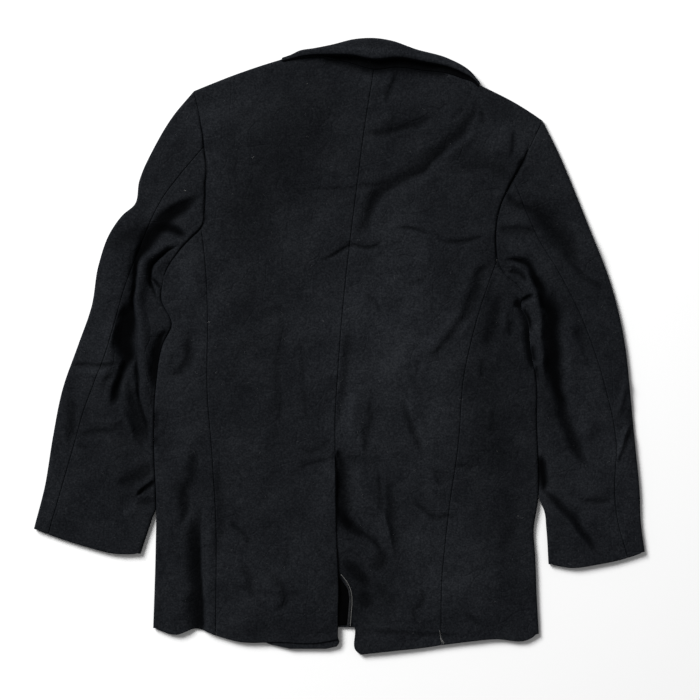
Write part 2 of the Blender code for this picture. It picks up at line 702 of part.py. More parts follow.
def make_front(side):
    """A front on the floor. The right one lies over the left one's inside, past the centre line."""
    lines = LINES[side]
    left = side == "left"
    turn = -1 if left else 1
    sheet = Sheet(cloth_height, dome if left else front_right_base)
    armhole = armhole_of(side, True)[0]
    _, out, seam_under = shoulder_of(side)
    shoulder = seam_under - SEAM_GAP * out
    arm = floor_armhole(side, armhole)
    side_seam = joined(evenly(lines["side_seam"], FLOOR_STEP), armhole)
    side_seam = shifted(side_seam, -turn * SEAM_GAP / 2)
    neck = neck_stations()[0][2]
    hem = smooth_line(FRONT_HEM)
    neck_cuts, hem_cuts, creases = [], [], []
    edge_at = -turn * FRONT_OVERLAP
    marks = [edge_at] if left else [edge_at, FRONT_OVERLAP + 1, FRONT_OVERLAP + 1 + RAMP]
    for mark in marks:
        neck_cuts.append(on_line_at(neck, centre_of_front(neck[:, 1].min()) + mark))
        hem_cuts.append(on_line_at(hem, centre_of_front(hem[0, 1]) + mark))
    for top, bottom in zip(neck_cuts[1:], hem_cuts[1:]):
        y = np.linspace(top[1] - 12, bottom[1] + 12, 15)
        creases.append(np.column_stack([centre_of_front(y) + marks[len(creases) + 1], y]))
    if left:
        neck = np.vstack([neck[1:][neck[1:, 0] < neck_cuts[0][0] - 3], neck_cuts[0]])
        hem = np.vstack([evenly(hem[hem[:, 0] < hem_cuts[0][0] - 30], 60)[1:], hem_cuts[0]])
    else:
        neck = with_cuts(neck[:-1][neck[:-1, 0] > neck_cuts[0][0] + 3], neck_cuts)
        hem = with_cuts(evenly(hem[hem[:, 0] > hem_cuts[0][0] + 30], 60)[:-1], hem_cuts)
    y = np.linspace(neck[-1][1], hem[-1][1], 16)[1:-1]
    front_edge = np.column_stack([centre_of_front(y) + edge_at, y])
    rest = np.vstack([shoulder, arm[1:], side_seam, hem, front_edge[::-1], neck[::-1]])
    for button in BUTTONS:
        turns = np.linspace(0, 2 * math.pi, DOME_SIDES + 1)
        circle = np.column_stack([np.cos(turns), np.sin(turns)])
        creases += [button + DOME_FLAT * circle, button + DOME_FOOT * circle]
    sheet.fill(sheet.on_floor(rest), sheet.on_floor, None, creases=creases)
    sheet.solid(f"front_{side}", WOOL)


def make_collar():
    (neck, edge, front), _ = neck_stations()
    sheet = Sheet(cloth_height)
    shares = along(edge) / along(edge)[-1]
    columns = []
    heights = np.array([back_left_height(neck), back_right_height(neck)]).max(axis=0)
    out = (edge - neck) / np.linalg.norm(edge - neck, axis=1)[:, None]
    start = neck + SEAM_GAP * out
    reach = edge - start
    roll = ROLL_END + (ROLL_MIDDLE - ROLL_END) * np.sin(math.pi * shares) ** 0.9
    columns.append(np.column_stack([start, heights]))
    for way, up in COLLAR_RISE:
        columns.append(np.column_stack([start + way * reach, heights + (roll - heights) * up]))
    for way, up in COLLAR_ROLL:
        columns.append(np.column_stack([start + way * reach, roll * up]))
    seam = front + SEAM_GAP * out
    fold = columns[-1][:, :2]
    for way in (0.5, 1.0):
        columns.append(np.column_stack([fold + way * (seam - fold), np.zeros(len(fold))]))
    grid = np.array(columns)
    facing = np.cross(np.gradient(grid, axis=1), np.gradient(grid, axis=0))
    facing /= np.linalg.norm(facing, axis=2)[:, :, None]
    facing[0] = np.array([sheet.facing[k] for k in sheet.on_top(neck)])
    facing[0, [0, -1]] = (0, 0, 1)
    sheet = Sheet(cloth_height)
    facing[-3:] = (0, 0, -1)
    rings = [sheet.put(list(points), list(ways)) for points, ways in zip(grid, facing)]
    for ring, following in zip(rings, rings[1:]):
        sheet.strip(ring, following)
    sheet.solid("collar", WOOL)


def make_flat(name, outline, top, wall, colour):
    """A small piece of cloth that lies on or under another, its top given by a function."""
    plan = evenly(np.array(outline + outline[:1], float), 9)[:-1]
    sheet = Sheet(top)
    sheet.fill(sheet.on_top(plan), sheet.on_top, INNER_STEP)
    sheet.solid(name, colour, wall=wall)


def under_flap(points):
    """The top of what lies against the flap's wrong side."""
    return back_left_height(points) - WALL - SEAM_GAP


def over_fronts(points):
    """The top of a lining that lies on the two fronts."""
    return np.full(len(points), 2 * (WALL + SEAM_GAP) + LINING_WALL)


def make_buttons():
    for number, (x, y) in enumerate(BUTTONS, start=1):
        shape = bmesh.new()
        bmesh.ops.create_cone(
            shape, cap_ends=True, segments=20, radius1=BUTTON_RADIUS, radius2=BUTTON_RADIUS,
            depth=BUTTON_HEIGHT,
        )
        points = [v.co + Vector((x, y, BUTTON_HEIGHT / 2)) for v in shape.verts]
        faces = [[v.index for v in face.verts] for face in shape.faces]
        shape.free()
        make_object(f"button_{number}", points, faces, BUTTON_BLACK, 0.35)


def main():
    for thing in list(bpy.data.objects):
        bpy.data.objects.remove(thing)
    for side in ("left", "right"):
        make_back(side)
        make_side(side)
        make_sleeve(side)
        make_front(side)
    make_collar()
    make_flat("hem_drop_left", HEM_DROP, under_flap, WALL, WOOL)
    make_flat("vent_lining", LINING_PATCH, over_fronts, LINING_WALL, LINING)
    make_buttons()


main()
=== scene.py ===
import math

import bmesh
import bpy
import numpy as np
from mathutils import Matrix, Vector
from mathutils.geometry import delaunay_2d_cdt
from mathutils.kdtree import KDTree


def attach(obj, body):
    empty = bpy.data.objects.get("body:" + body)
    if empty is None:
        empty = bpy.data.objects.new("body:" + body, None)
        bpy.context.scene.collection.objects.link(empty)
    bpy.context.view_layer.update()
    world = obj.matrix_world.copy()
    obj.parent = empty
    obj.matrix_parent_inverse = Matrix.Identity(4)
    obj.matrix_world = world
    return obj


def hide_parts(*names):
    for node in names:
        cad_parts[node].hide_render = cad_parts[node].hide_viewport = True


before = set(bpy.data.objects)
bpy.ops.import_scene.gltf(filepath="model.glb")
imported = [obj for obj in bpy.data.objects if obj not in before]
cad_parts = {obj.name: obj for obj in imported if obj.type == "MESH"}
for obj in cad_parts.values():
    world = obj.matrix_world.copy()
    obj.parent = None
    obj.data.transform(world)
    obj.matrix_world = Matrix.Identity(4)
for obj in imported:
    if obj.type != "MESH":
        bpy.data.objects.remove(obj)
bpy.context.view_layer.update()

# The looks of a wool pea coat that lies on its front with its back up. Each sewn piece of cloth is
# a closed thin shell. One map of heights gives all the panels their folds, so that their faces run
# on across each seam. Tables are in millimetres, in the coat's own plane: x to its right, y towards
# the collar.
MM = 0.001
ORIGIN = (0.5, 0.1)  # the middle of the coat's outline

# The cloth and how it lies
WALL = 2.4  # melton wool
LINING_WALL = 1.2
TAPE_WALL = 0.9
SEAM_GAP = 0.3
SLEEVE_GAP = 0.02
EDGE_HEIGHT = 8.6  # of the cloth's top at a fold
MIDDLE_HEIGHT = 12.6
RISE = 70.0  # the cloth rises from one to the other over this
SHOULDER_UNDER = 8.0  # how far in under the shoulder its seam lies
ARC_STEPS = 9  # round a fold
SLEEVE_PART = 30.0  # over this the sleeve's edge leaves the armhole's gap for the sleeve gap
HEM_CLEAR = 8.0  # a hem and a cuff have no points this near to a fold
CUFF_CLEAR = 7.0
ARMHOLE_CLEAR = 5.0
FOLD_CLEAR = 4.0  # this near to a fold's ends an edge is rounded less
FOLD_ROOM = 0.2  # the least that is left inside a fold
FOLD_ROUNDS = 4  # of working out how wide a fold is
CALM_POINTS = 4  # the directions out of a fold are averaged over so many points to each side
TURN_REACH = 26.0  # over this they turn to those of the seam at an end
REST_SOFTNESS = 1.0  # of the change to where the cloth rests on what is under it

# The cloth's slight unevenness, less of it near the coat's edges
UNEVEN = [
    # spread, height, seed
    (30, 1.3, 11), (13, 0.9, 12), (6, 0.4, 13), (3, 0.09, 14),
]
EDGE_CALM = 0.25  # share of the unevenness that is left at an edge
CALM_REACH = 24.0

# How a fold runs: off its line here and there, narrower and lower at its ends
WANDER = 1.3
WANDER_SPREAD = 9.0
WANDER_SEEDS = (3, 4)
FOLD_END = 0.3  # share of its length over which it dies away
END_WIDTH = 0.45  # its width at the very end, as a share of its full one
END_RISE = 0.06
FOLD_REACH = 2.6  # how far it is worked out to each side, in widths
FOLD_POWER = 2.0
HOLLOW_POWER = 2.8

# Painted shade, darker for each millimetre of a hollow, and painted highlight, lighter of a ridge
FOLD_PAINTED_SHADE = 0.17
HOLLOW_PAINTED_SHADE = 0.26
RIDGE_PAINTED_HIGHLIGHT = 0.02

# Spacing of the points of a panel
FINE = 3.0
FLOOR_STEP = 40.0
LINE_STEP = 5.0  # of a fold's line
OUTLINE_STEP = 14.0
STATION_STEP = 2.6  # of the neck seam
FLOOR_CUFF_STEP = 14.0
FLOOR_ARMHOLE_STEP = 19.0
GRID = 1.0  # of the map of heights
MAP_LOW = (-430.0, -432.0)
MAP_HIGH = (432, 434)
FAR = 1e6  # nothing is so far away
MERGE = 1e-5  # points this close are one
SHARP_ANGLE = 75  # degrees between faces from which an edge is shaded sharp

# Lint is strewn only on faces that look up and lie higher than this
LINT_ABOVE = 6.0
LINT_UP = 0.8
LINT_DENSITY = 800  # fibres on a square metre
LINT_SEED = 5

# Cut edges and seams are rounded off
ROUND_WIDTH = 1.7
ROUND_DROP = 1.2
EDGE_ROWS = (0.35, 0.9, 1.7, 3.2)
EDGE_ROW_STEP = 0.8  # as a share of a panel's step
EDGE_ROW_CLEAR = 0.8  # as a share of the row's distance
EDGE_ROW_SLACK = 0.05
EDGE_ROW_APART = 0.3

# Rows of points along the narrow folds, and the even pattern between them
NARROW_FOLD = 7.0
FOLD_ROWS = (0.0, 0.45, -0.45, 0.9, -0.9, 1.5, -1.5)  # in widths of the fold
FOLD_ROW_CLEAR = 1.2
FOLD_ROW_APART = 0.9
ROW_HEIGHT = 0.87  # the pattern's sizes are shares of its step
UNEVEN_STEP = 0.12
EVEN_APART = 0.62
EVEN_CLEAR = 4.2  # from the panel's edges

# The double-breasted front, on the floor
CENTRE_X = 9.5  # of the coat's centre line, and how far it goes to the side on its way up
CENTRE_SLANT = 0.1
FRONT_OVERLAP = 88.0
RAMP = 16.0
OVER_LEFT = 24.0  # how far past the overlap the back still rests on both fronts
OVER_RIGHT = 38.0
OVER_EASE = 20.0
BUTTON_HEIGHT = 3.0
BUTTON_COLUMN = 55.0
BUTTON_ROWS = (140.0, 20.0, -100.0)
DOME_FLAT = 16.5  # radii of the cloth's rise over a button
DOME_FOOT = 27.0
DOME_SIDES = 23
FRONT_ROWS = 15
FRONT_STATIONS = 4  # every so many points of the collar's neck edge, the front has one
FRONT_HEM_STEP = 60.0
FRONT_HEM_CLEAR = 30.0
CUT_CLEAR = 3.0
CREASE_CLEAR = 12.0  # of the neck and the hem

# The back vent
VENT_TOP = -144.0
VENT_PART = 14.0  # the two halves part over this
VENT_NEAR = 24.0  # and come together again between these distances beside the vent
VENT_FAR = 74.0
VENT_X = -3.0
FLAP_HEIGHT = 12.2
FLAP_SINK = 1.5
UNDERLAP_HEIGHT = 7.9
UNDERLAP_RISE = 9.0
PAST_FLAP = 2.0  # the underlap has folds from here on, where no flap lies over it
PAST_FLAP_EASE = 12.0

# The collar's section. Its wall rises from the back neck seam, rolls over and runs to the floor.
ROLL_END = 11.5  # height of the roll at the collar's ends
ROLL_MIDDLE = 25.0
ROLL_POWER = 0.8  # how the roll gains its height from its ends to its middle
SECTION_STEP = 0.01
RISE_STEP = 0.02
ROLL_STEP = 0.05
FLOOR_WAYS = (0.35, 0.7, 1.0)  # shares of the way on the floor to the front neck seam
FOOT_WAVE = 0.04
FOOT_WAVES = 23
COLLAR_RISE = [
    # share of the way out, share of the way from the neck's height to the roll's
    (0.02, 0.02), (0.14, -0.01), (0.30, 0.02), (0.36, 0.16), (0.385, 0.60), (0.41, 0.80),
    (0.48, 0.88),
]
COLLAR_ROLL = [
    # share of the way out, share of the roll's height
    (0.56, 0.96), (0.66, 1.00), (0.78, 0.93), (0.90, 0.76), (0.97, 0.56), (1.00, 0.34),
    (0.975, 0.12), (0.90, 0.00),
]
COLLAR_PAINTED_LIGHT = [
    # share of the way out, how light the colour is painted: a painted highlight along the roll,
    # painted shade in its shelter
    (0.00, 0.12), (0.30, 0.05), (0.37, 0.08), (0.42, 0.75), (0.48, 1.15), (0.54, 1.55),
    (0.62, 1.55), (0.70, 1.15), (0.80, 0.92), (0.92, 0.92), (1.00, 1.05),
]
COLLAR_SHELTER = [
    # share of the way along from the left end, share of its full width that the strip of painted
    # shade under the roll has
    (0.0, 0.03), (0.09, 0.10), (0.18, 0.45), (0.28, 1.0), (1.0, 1.0),
]
COLLAR_FOOT = [
    # share of the way along from the left end, how far out the foot of the roll lies
    (0.0, 0.40), (0.18, 0.52), (0.30, 0.72), (0.45, 0.80), (0.56, 0.92), (0.66, 1.07), (0.80, 1.09),
    (1.0, 1.07),
]

# The painted shade under the roll reaches out to this share of the way
SHELTER_OUT = 0.42  # share of the way out to which the roll shelters the cloth
# The collar's colour is made darker by this share in one place
COLLAR_DARKER = 0.26  # the collar is duller by this share in one place
COLLAR_DARKER_ALONG = (0.43, 0.15)  # where along it that is, and how far it spreads to each side
COLLAR_DARKER_OUT = (0.8, 0.16)

# Thicknesses of the threads
TAPE_THREAD = 0.42
TUFT_THREAD = 0.35
LINT_THREAD = 0.24

NOISE_MIDDLE = 0.5  # the value about which a noise swings

# The room and the view, in metres
PAPER_HALF = 6.0
PAPER_HEIGHT = -0.0005
KEY_PLACE = (-3.15, 3.15, 4.0)
KEY_SIZE = 2.6
KEY_POWER = 540
ROOM_POWER = 0.25
LENS = 100
SENSOR = 36
CLIP_END = 20
VIEW_MIDDLE = (0.01435, -0.004825)
VIEW_WIDTH = 0.945
VIEW_HEIGHT = 0.006  # of the cloth at which the view is that wide

# Lines of the cut, as rows of x, y. Seams and edges run from the collar to the hem.
LEFT = {
    "shoulder": [(-77, 388), (-103, 380), (-138, 368), (-179, 352), (-196, 345)],
    "armhole": [(-196, 345), (-188, 310), (-181, 265), (-180, 215), (-181, 184), (-186, 160),
                (-200, 146), (-215, 130), (-231, 107), (-238, 90)],
    "edge": [(-238, 90), (-240, 64), (-226, 30), (-238, 2), (-247, -52), (-250, -130),
             (-247, -207), (-248, -288), (-251, -380)],
    "seam": [(-186, 160), (-181, 121), (-177, 43), (-177, -68), (-171, -146), (-166, -232),
             (-166, -390)],
    "hem": [(-166, -390), (-193, -381), (-220, -389), (-251, -380)],
    "side_seam": [(-205, 141), (-192, 70), (-190, -52), (-194, -200), (-196, -378)],
    "sleeve_outer": [(-196, 345), (-225, 310), (-250, 268), (-270, 223), (-276, 192),
                     (-292, 178), (-308, 156), (-325, 109), (-334, 55), (-352, 3), (-373, -56),
                     (-387, -125), (-397, -187), (-412, -246)],
    "sleeve_inner_end": [(-250, -226), (-256, -244), (-268, -280)],
    "cuff": [(-268, -280), (-300, -280), (-346, -269), (-394, -253), (-412, -246)],
    "elbow_seam": [(-182, 269), (-212, 234), (-238, 200), (-269, 134), (-289, 78), (-315, -11),
                   (-342, -80), (-366, -163), (-392, -253)],
    "forearm_seam": [(-205, 141), (-240, 106), (-264, 50), (-286, -80), (-296, -190),
                     (-307, -279)],
}
RIGHT = {
    "shoulder": [(190, 353), (211, 343), (238, 329), (262, 314), (275, 305)],
    "armhole": [(275, 305), (261, 276), (232, 219), (220, 194), (213, 165), (212, 134),
                (215, 115), (224, 97), (241, 83), (250, 71)],
    "edge": [(250, 71), (246, 55), (254, 36), (259, -5), (267, -52), (267, -99), (269, -156),
             (269, -207), (263, -249), (265, -281), (267, -335), (270, -388)],
    "seam": [(214, 118), (201, 83), (185, 33), (169, -36), (161, -130), (148, -225),
             (139, -314), (138, -403)],
    "hem": [(138, -403), (171, -399), (212, -395), (252, -397), (270, -388)],
    "side_seam": [(216, 112), (205, 60), (206, -40), (212, -150), (213, -380)],
    "sleeve_outer": [(275, 305), (297, 260), (321, 203), (344, 145), (364, 94), (377, 49),
                     (387, -2), (393, -59), (400, -132), (406, -194), (408, -240), (413, -277)],
    "sleeve_inner_end": [(270, -207), (277, -222), (280, -246), (283, -294)],
    "cuff": [(283, -294), (316, -299), (346, -295), (394, -284), (413, -277)],
    "elbow_seam": [(235, 225), (248, 194), (267, 149), (298, 97), (331, 29), (358, -52),
                   (374, -130), (372, -190), (376, -235), (390, -285)],
    "forearm_seam": [(216, 112), (252, 94), (281, 40), (302, -80), (318, -190), (322, -299)],
}
CENTRE_SEAM = [(47, 373), (43, 348), (35, 298), (23, 206), (14, 134), (3, 26), (-1, -30),
               (-5, -99), (-5, -144), (-5, -160)]
FLAP_EDGE = [(-5, -160), (-3.4, -260), (-1.4, -306), (-0.6, -335), (-1.2, -348), (-1.4, -395)]
FLAP_HEM = [(-1.4, -395), (-30, -400), (-78, -399), (-138, -398), (-166, -390)]
UNDERLAP_EDGE = [(-5, -160), (-20, -178), (-22, -230), (-20, -288), (1, -306), (14, -326),
                 (17, -340), (15, -365), (21, -379), (23, -411), (29, -416)]
UNDERLAP_HEM = [(29, -416), (74, -411), (120, -406), (138, -403)]
BACK_NECK = [(-77, 384), (-62, 387), (-31, 390), (11, 383), (47, 373), (78, 376), (113, 372),
             (144, 368), (166, 361), (182, 355), (189, 348)]
FRONT_NECK = [(-72.5, 376.5), (-45, 350), (0, 327), (42, 320), (90, 326), (140, 334), (184, 342)]
FRONT_HEM = [(-196, -378), (-100, -379), (100, -379), (213, -380)]
COLLAR_EDGE = [(-76.8, 390), (-66, 393.5), (-53, 399.5), (-34, 402.5), (-11, 407), (23, 415),
               (49, 416), (69, 413), (104, 401), (147, 389), (176, 373), (190, 357.5)]
COLLAR_NECK_ENDS = ((-76.7, 384.1), (187.6, 349.5))
COLLAR_MIDDLES = (CENTRE_SEAM[0], (52, 416), (50, 320))
HEM_DROP = [(-109, -395), (-94, -402), (-66, -408), (-18, -408), (-3, -405), (1, -399),
            (-4, -386), (-60, -386), (-104, -386)]
EDGE_TAPE = [(-0.5, -305), (7.5, -315), (12.5, -328), (14, -341), (12.5, -360), (11, -376.5),
             (14.8, -377.5), (15.8, -361), (17.0, -345), (15.7, -330), (10.0, -317.4),
             (2.2, -307.4)]
LINING_PATCH = [(-26, -300), (-15.5, -303.4), (-5, -307), (2.2, -314), (8, -322), (11, -326.6),
                (13, -332), (14.5, -342), (13.9, -352), (12.9, -361), (12, -366), (10, -376),
                (-26, -376)]

# Threads on the cloth, each along its points
TAPE_EDGE = [(2.8, -307.4), (10.6, -317.2), (16.3, -330), (17.6, -345), (16.4, -361), (15.4, -377)]
HEM_TUFT = [
    [(135.6, -383), (136.6, -389), (137.4, -395), (138.4, -398.5)],
    [(137.4, -393), (139.6, -396.6), (141.6, -399.4)],
    [(138.6, -396), (139.8, -399), (141.2, -401)],
]
LINT_BITS = [
    [(-117.4, 253.6), (-116, 254.8), (-114.8, 256)], [(-43.8, 353.6), (-42.6, 354.4)],
    [(-177, 32.4), (-175.4, 33.2), (-173.6, 33)],
    [(-208.6, 210.6), (-207.2, 209.6), (-205.8, 210.2)], [(-207.6, 211.2), (-207, 209)],
    [(212, 115.8), (212.8, 117.6)], [(212.8, -141.2), (213.6, -140.4)],
    [(241.2, -228), (242, -229.2)], [(-22, 34.8), (-21, 34.2)],
]

# Folds and creases. Each runs along a smooth line; rise is over zero for a ridge and under for a
# trough; its two widths are to the left and to the right of the way that the line runs.
# A trough's colour is also painted darker, as shade, and a ridge's a little lighter, as a highlight
FOLDS = [
    # line, left width, right width, rise
    # right sleeve: the loop of cloth beside the deep hollow, and the soft folds round it
    ([(240, 106), (254, 97), (264, 80), (270, 56), (272, 20), (274, -30), (280, -62)], 5.5, 8, 6.5),
    ([(305, 74), (309, 45), (309, 10), (310, -25), (316, -60), (326, -85)], 14, 6, 4.5),
    ([(276, -70), (284, -98), (298, -125), (306, -150)], 11, 11, 3.5),
    ([(226, 212), (236, 198), (250, 185), (268, 176)], 4, 6, -4),
    ([(244, 196), (268, 179), (288, 159), (302, 138), (316, 113), (328, 94)], 15, 10, -5),
    ([(312, 116), (325, 100), (340, 88), (362, 72)], 3.4, 3.4, -3),
    ([(232, 136), (256, 130), (276, 112), (292, 86)], 11, 10, 4),
    ([(262, 214), (300, 176), (330, 140), (366, 100)], 14, 12, 4.5),
    ([(214, 161), (234, 157), (252, 157), (268, 151)], 3.4, 8, -3.2),
    ([(226, 97.6), (238, 98.4), (247, 95), (254, 88)], 2.4, 2.2, -6.5),
    ([(222, 108), (238, 107), (250, 100), (258, 88)], 3, 3, 2.6),
    ([(221, 96), (233, 92), (242, 84)], 3, 3, 2),
    ([(309, 26), (316, 4), (326, -15), (338, -32)], 4, 4, 3.6),
    ([(318, 26), (326, 8), (338, -10)], 5, 5, -1.6),
    ([(304, -62), (314, -80), (328, -96), (336, -112), (341, -130)], 10, 6, 3.4),
    ([(393, -100), (384, -122), (378, -145), (374, -162)], 3.4, 3.4, 4),
    ([(389, -44), (382, -70), (375, -92)], 4, 4, 3.6),
    ([(397, -70), (393, -110), (386, -140)], 6, 5, -2.7),
    # right sleeve, above the cuff
    ([(273, -200), (290, -216), (316, -242), (340, -276)], 4, 14, 3.5),
    ([(290, -186), (312, -206), (332, -232), (352, -256)], 14, 6, 3.5),
    ([(322, -204), (340, -211), (356, -212), (376, -206)], 4, 4, -2.4),
    # left sleeve: the long loop of cloth from the armhole past the elbow
    ([(-203, 138), (-222, 139), (-240, 134), (-255, 120), (-264, 99), (-268, 75), (-269, 45),
      (-267, 15), (-264, -15), (-260, -50), (-257, -85)], 9, 6, 6.5),
    ([(-228, 122), (-240, 112), (-246, 98)], 5, 5, 3),
    ([(-232, 160), (-218, 156), (-207, 150)], 3.6, 3.6, -4),
    ([(-300, 40), (-306, 10), (-308, -20), (-320, -46), (-324, -72)], 6, 15, 4.5),
    ([(-296, -74), (-288, -96), (-279, -116), (-277, -132)], 4, 5, 4.6),
    ([(-313, -103), (-301, -100), (-290, -98)], 4, 4, 2),
    ([(-366, -23), (-331, -24), (-294, -24)], 3.2, 2.8, -3),
    ([(-352, -32), (-322, -34), (-302, -36)], 5, 8, 2.8),
    ([(-351, -115), (-324, -115), (-296, -113)], 4, 4, -2.4),
    ([(-355, -132), (-344, -133), (-332, -134)], 3.5, 3.5, -1.6),
    ([(-355, -64), (-360, -90), (-361, -112), (-362, -134)], 6, 6, -3.8),
    ([(-250, -158), (-264, -168), (-282, -179), (-302, -190)], 8, 7, -4.6),
    ([(-252, -206), (-262, -213), (-276, -214)], 5, 7, -3.2),
    ([(-264, -206), (-276, -222), (-290, -232)], 7, 7, 2.2),
    # beside the armholes, on the sleeves
    ([(252, 262), (240, 238), (231, 218), (226, 203)], 5, 3, -3),
    # side-back panels
    ([(-203, 18), (-202, -2), (-204, -18), (-213, -30), (-230, -46)], 7, 6, -4.2),
    ([(-226, 4), (-231, -18), (-238, -44)], 6, 6, 3),
    ([(-192, -136), (-193, -165), (-198, -182), (-207, -196), (-209, -225), (-210, -248)],
     6, 7, -4),
    ([(-204, -132), (-205, -150), (-207, -172)], 6, 6, 2),
    ([(-208, -192), (-209, -215), (-206, -242)], 4, 4, -2),
    ([(-175, -230), (-176, -300), (-174, -410)], 9, 4, 2.6),
    ([(-222, -150), (-226, -230), (-222, -300)], 14, 14, 2.6),
    ([(213, 114), (200, 106), (189, 96), (183, 76), (174, 52), (164, 24)], 8, 6, -5),
    ([(219, 74), (214, 48), (209, 24), (203, 2), (198, -14)], 7, 10, -3.6),
    ([(228, 50), (224, 34), (220, 16)], 5, 5, 3),
    ([(236, 34), (233, 22), (231, 8)], 4, 4, -2.4),
    ([(191, -16), (194, -32), (196, -50)], 4, 4, -2.2),
    ([(206, -84), (208, -102), (208, -124)], 5, 5, -1.8),
    ([(165, -14), (170, -44), (174, -78)], 12, 7, -1.4),
    ([(206, 92), (196, 78), (190, 62)], 4, 4, 2.4),
    ([(-166, 318), (-172, 300), (-176, 262)], 26, 26, 4),
    ([(228, 300), (220, 280), (212, 250)], 26, 26, 4),
    # across the back, upper right
    ([(190, 342), (185, 318), (173, 294), (152, 274), (133, 257), (112, 240), (92, 226), (70, 214),
      (54, 203), (46, 186), (38, 164), (28, 148)], 5, 11, -5.2),
    ([(150, 270), (140, 262), (129, 252), (110, 237), (92, 225)], 3.4, 6, -2.4),
    ([(72, 216), (54, 207), (44, 189), (38, 164), (26, 144)], 5, 8, -2.6),
    ([(190, 294), (164, 270), (140, 250)], 7, 5, 3.4),
    ([(134, 236), (116, 222), (100, 211), (80, 198)], 13, 6, 2.6),
    ([(60, 196), (56, 180), (58, 160)], 9, 6, 2),
    ([(30, 289), (48, 286), (66, 287), (82, 291), (96, 297), (110, 304), (130, 311)], 5.5, 4, -3.6),
    ([(48, 300), (62, 304), (80, 312)], 9, 7, 2),
    ([(80, 374), (75, 356), (68, 344), (62, 328)], 5, 4, -2.6),
    ([(146, 239), (178, 244), (205, 243), (224, 228), (232, 210)], 10, 9, -2.4),
    ([(237, 292), (236, 272), (231, 252)], 4, 4, -2.6),
    ([(194, 320), (196, 308), (195, 296)], 4, 4, -1.8),
    ([(168, 320), (160, 310), (152, 304)], 4, 4, -1.5),
    ([(-48, 212), (-20, 212), (0, 211), (25, 214), (50, 217), (74, 222)], 3.4, 3.4, -1.9),
    ([(-30, 114), (-12, 121), (2, 128), (15, 136), (34, 133), (48, 134), (56, 139), (60, 150)],
     3, 3, -3.2),
    ([(-2, 143), (8, 140), (16, 135)], 2.6, 2.6, -1.4),
    ([(22, 124), (40, 122), (56, 130)], 8, 5, 1.2),
    ([(80, 158), (100, 157), (122, 149)], 3.2, 3.2, -2.8),
    ([(134, 141), (158, 139), (178, 143), (198, 152)], 4, 3.2, -3.2),
    # across the middle
    ([(38, 76), (46, 60), (60, 42)], 3, 3, -1.6),
    ([(80, 88), (100, 85), (122, 91)], 4, 4, -1.1),
    ([(20, 40), (15, 14), (13, -20), (7, -66), (-1, -100), (-5, -124)], 6, 6, -2.8),
    ([(-74, 80), (-77, 42), (-75, 18), (-80, -24), (-80, -80), (-82, -134)], 4, 5, -1.3),
    ([(-48, 12), (-48, -56), (-42, -112)], 4, 4, -1.2),
    ([(88, -36), (98, -44), (106, -56), (118, -74)], 4, 4, -1.7),
    ([(110, -16), (107, -30), (104, -42)], 3, 4, -1.2),
    ([(46, -68), (42, -96), (37, -122), (34, -158)], 6, 4, -3.4),
    ([(22, -62), (20, -95), (16, -128)], 9, 10, 2.4),
    ([(84, -72), (95, -98), (106, -122), (116, -156)], 3.6, 5, -3.2),
    ([(92, -74), (108, -98), (120, -126)], 5, 5, 2.6),
    ([(110, -16), (140, 18), (168, 54)], 9, 9, 2.6),
    ([(126, -14), (152, 16), (178, 48)], 5, 5, -2.2),
    ([(60, 118), (84, 106), (112, 112), (140, 128)], 9, 9, 1.2),
    ([(-62, -174), (-42, -164), (-22, -154), (-8, -148)], 3, 3.4, -1.8),
    ([(-60, -128), (-40, -142), (-6, -122)], 3.4, 3.4, -1.2),
    # the lower right, beside the vent
    ([(51, -168), (54, -190), (57, -212), (60, -232)], 2.6, 5, -3.6),
    ([(46, -168), (55, -200), (60, -225), (66, -252), (75, -274)], 3.4, 3.4, 4),
    ([(64, -176), (68, -204), (71, -232), (76, -262), (80, -288)], 8, 4, -3),
    ([(32, -252), (41, -259), (50, -268), (60, -280)], 3, 3.4, -5),
    ([(24, -158), (30, -185), (34, -212), (30, -234)], 15, 11, 3.6),
    ([(6, -266), (22, -272), (36, -280)], 9, 9, 5),
    ([(128, -162), (133, -176), (139, -194)], 7, 3, -1.8),
    ([(98, -211), (116, -221), (134, -231), (147, -229), (166, -232)], 4.4, 3.6, -3.2),
    ([(156, -163), (170, -163), (184, -164)], 3.4, 3.4, -1.6),
    ([(211, -142), (227, -144)], 2.5, 2.5, -1),
    ([(110, -318), (115, -336), (108, -347), (99, -354), (103, -368), (108, -382)], 3.4, 3.4, -3),
    ([(166, -356), (180, -368), (196, -382)], 4.6, 4, -3),
    ([(72, -324), (86, -332), (98, -340)], 5, 5, 2),
    ([(45, -318), (64, -338), (84, -352)], 8, 5, -1.8),
    ([(20, -378), (42, -383), (69, -386), (103, -387), (138, -390), (180, -394)], 3, 3.4, -3),
    ([(238, -240), (226, -262), (214, -280)], 7, 7, -1.6),
    # the lower left
    ([(-163, -150), (-162, -190), (-160, -240), (-162, -300)], 6, 7, -2.4),
    ([(-152, -236), (-134, -250), (-122, -259), (-123, -274)], 3.4, 3.4, -3),
    ([(-130, -286), (-119, -308), (-115, -334), (-108, -346)], 5, 5, -2.4),
    ([(-94, -302), (-74, -326), (-73, -344), (-88, -360)], 5, 5, -3),
    ([(-70, -258), (-70, -282), (-72, -304)], 4, 4, -1.3),
    ([(-146, -322), (-110, -331), (-32, -327)], 4, 5, -1.2),
    ([(-30, -262), (-24, -276), (-14, -290)], 3, 3, -1.3),
    ([(-10, -150), (-10, -205), (-11, -262)], 26, 20, 5),
]
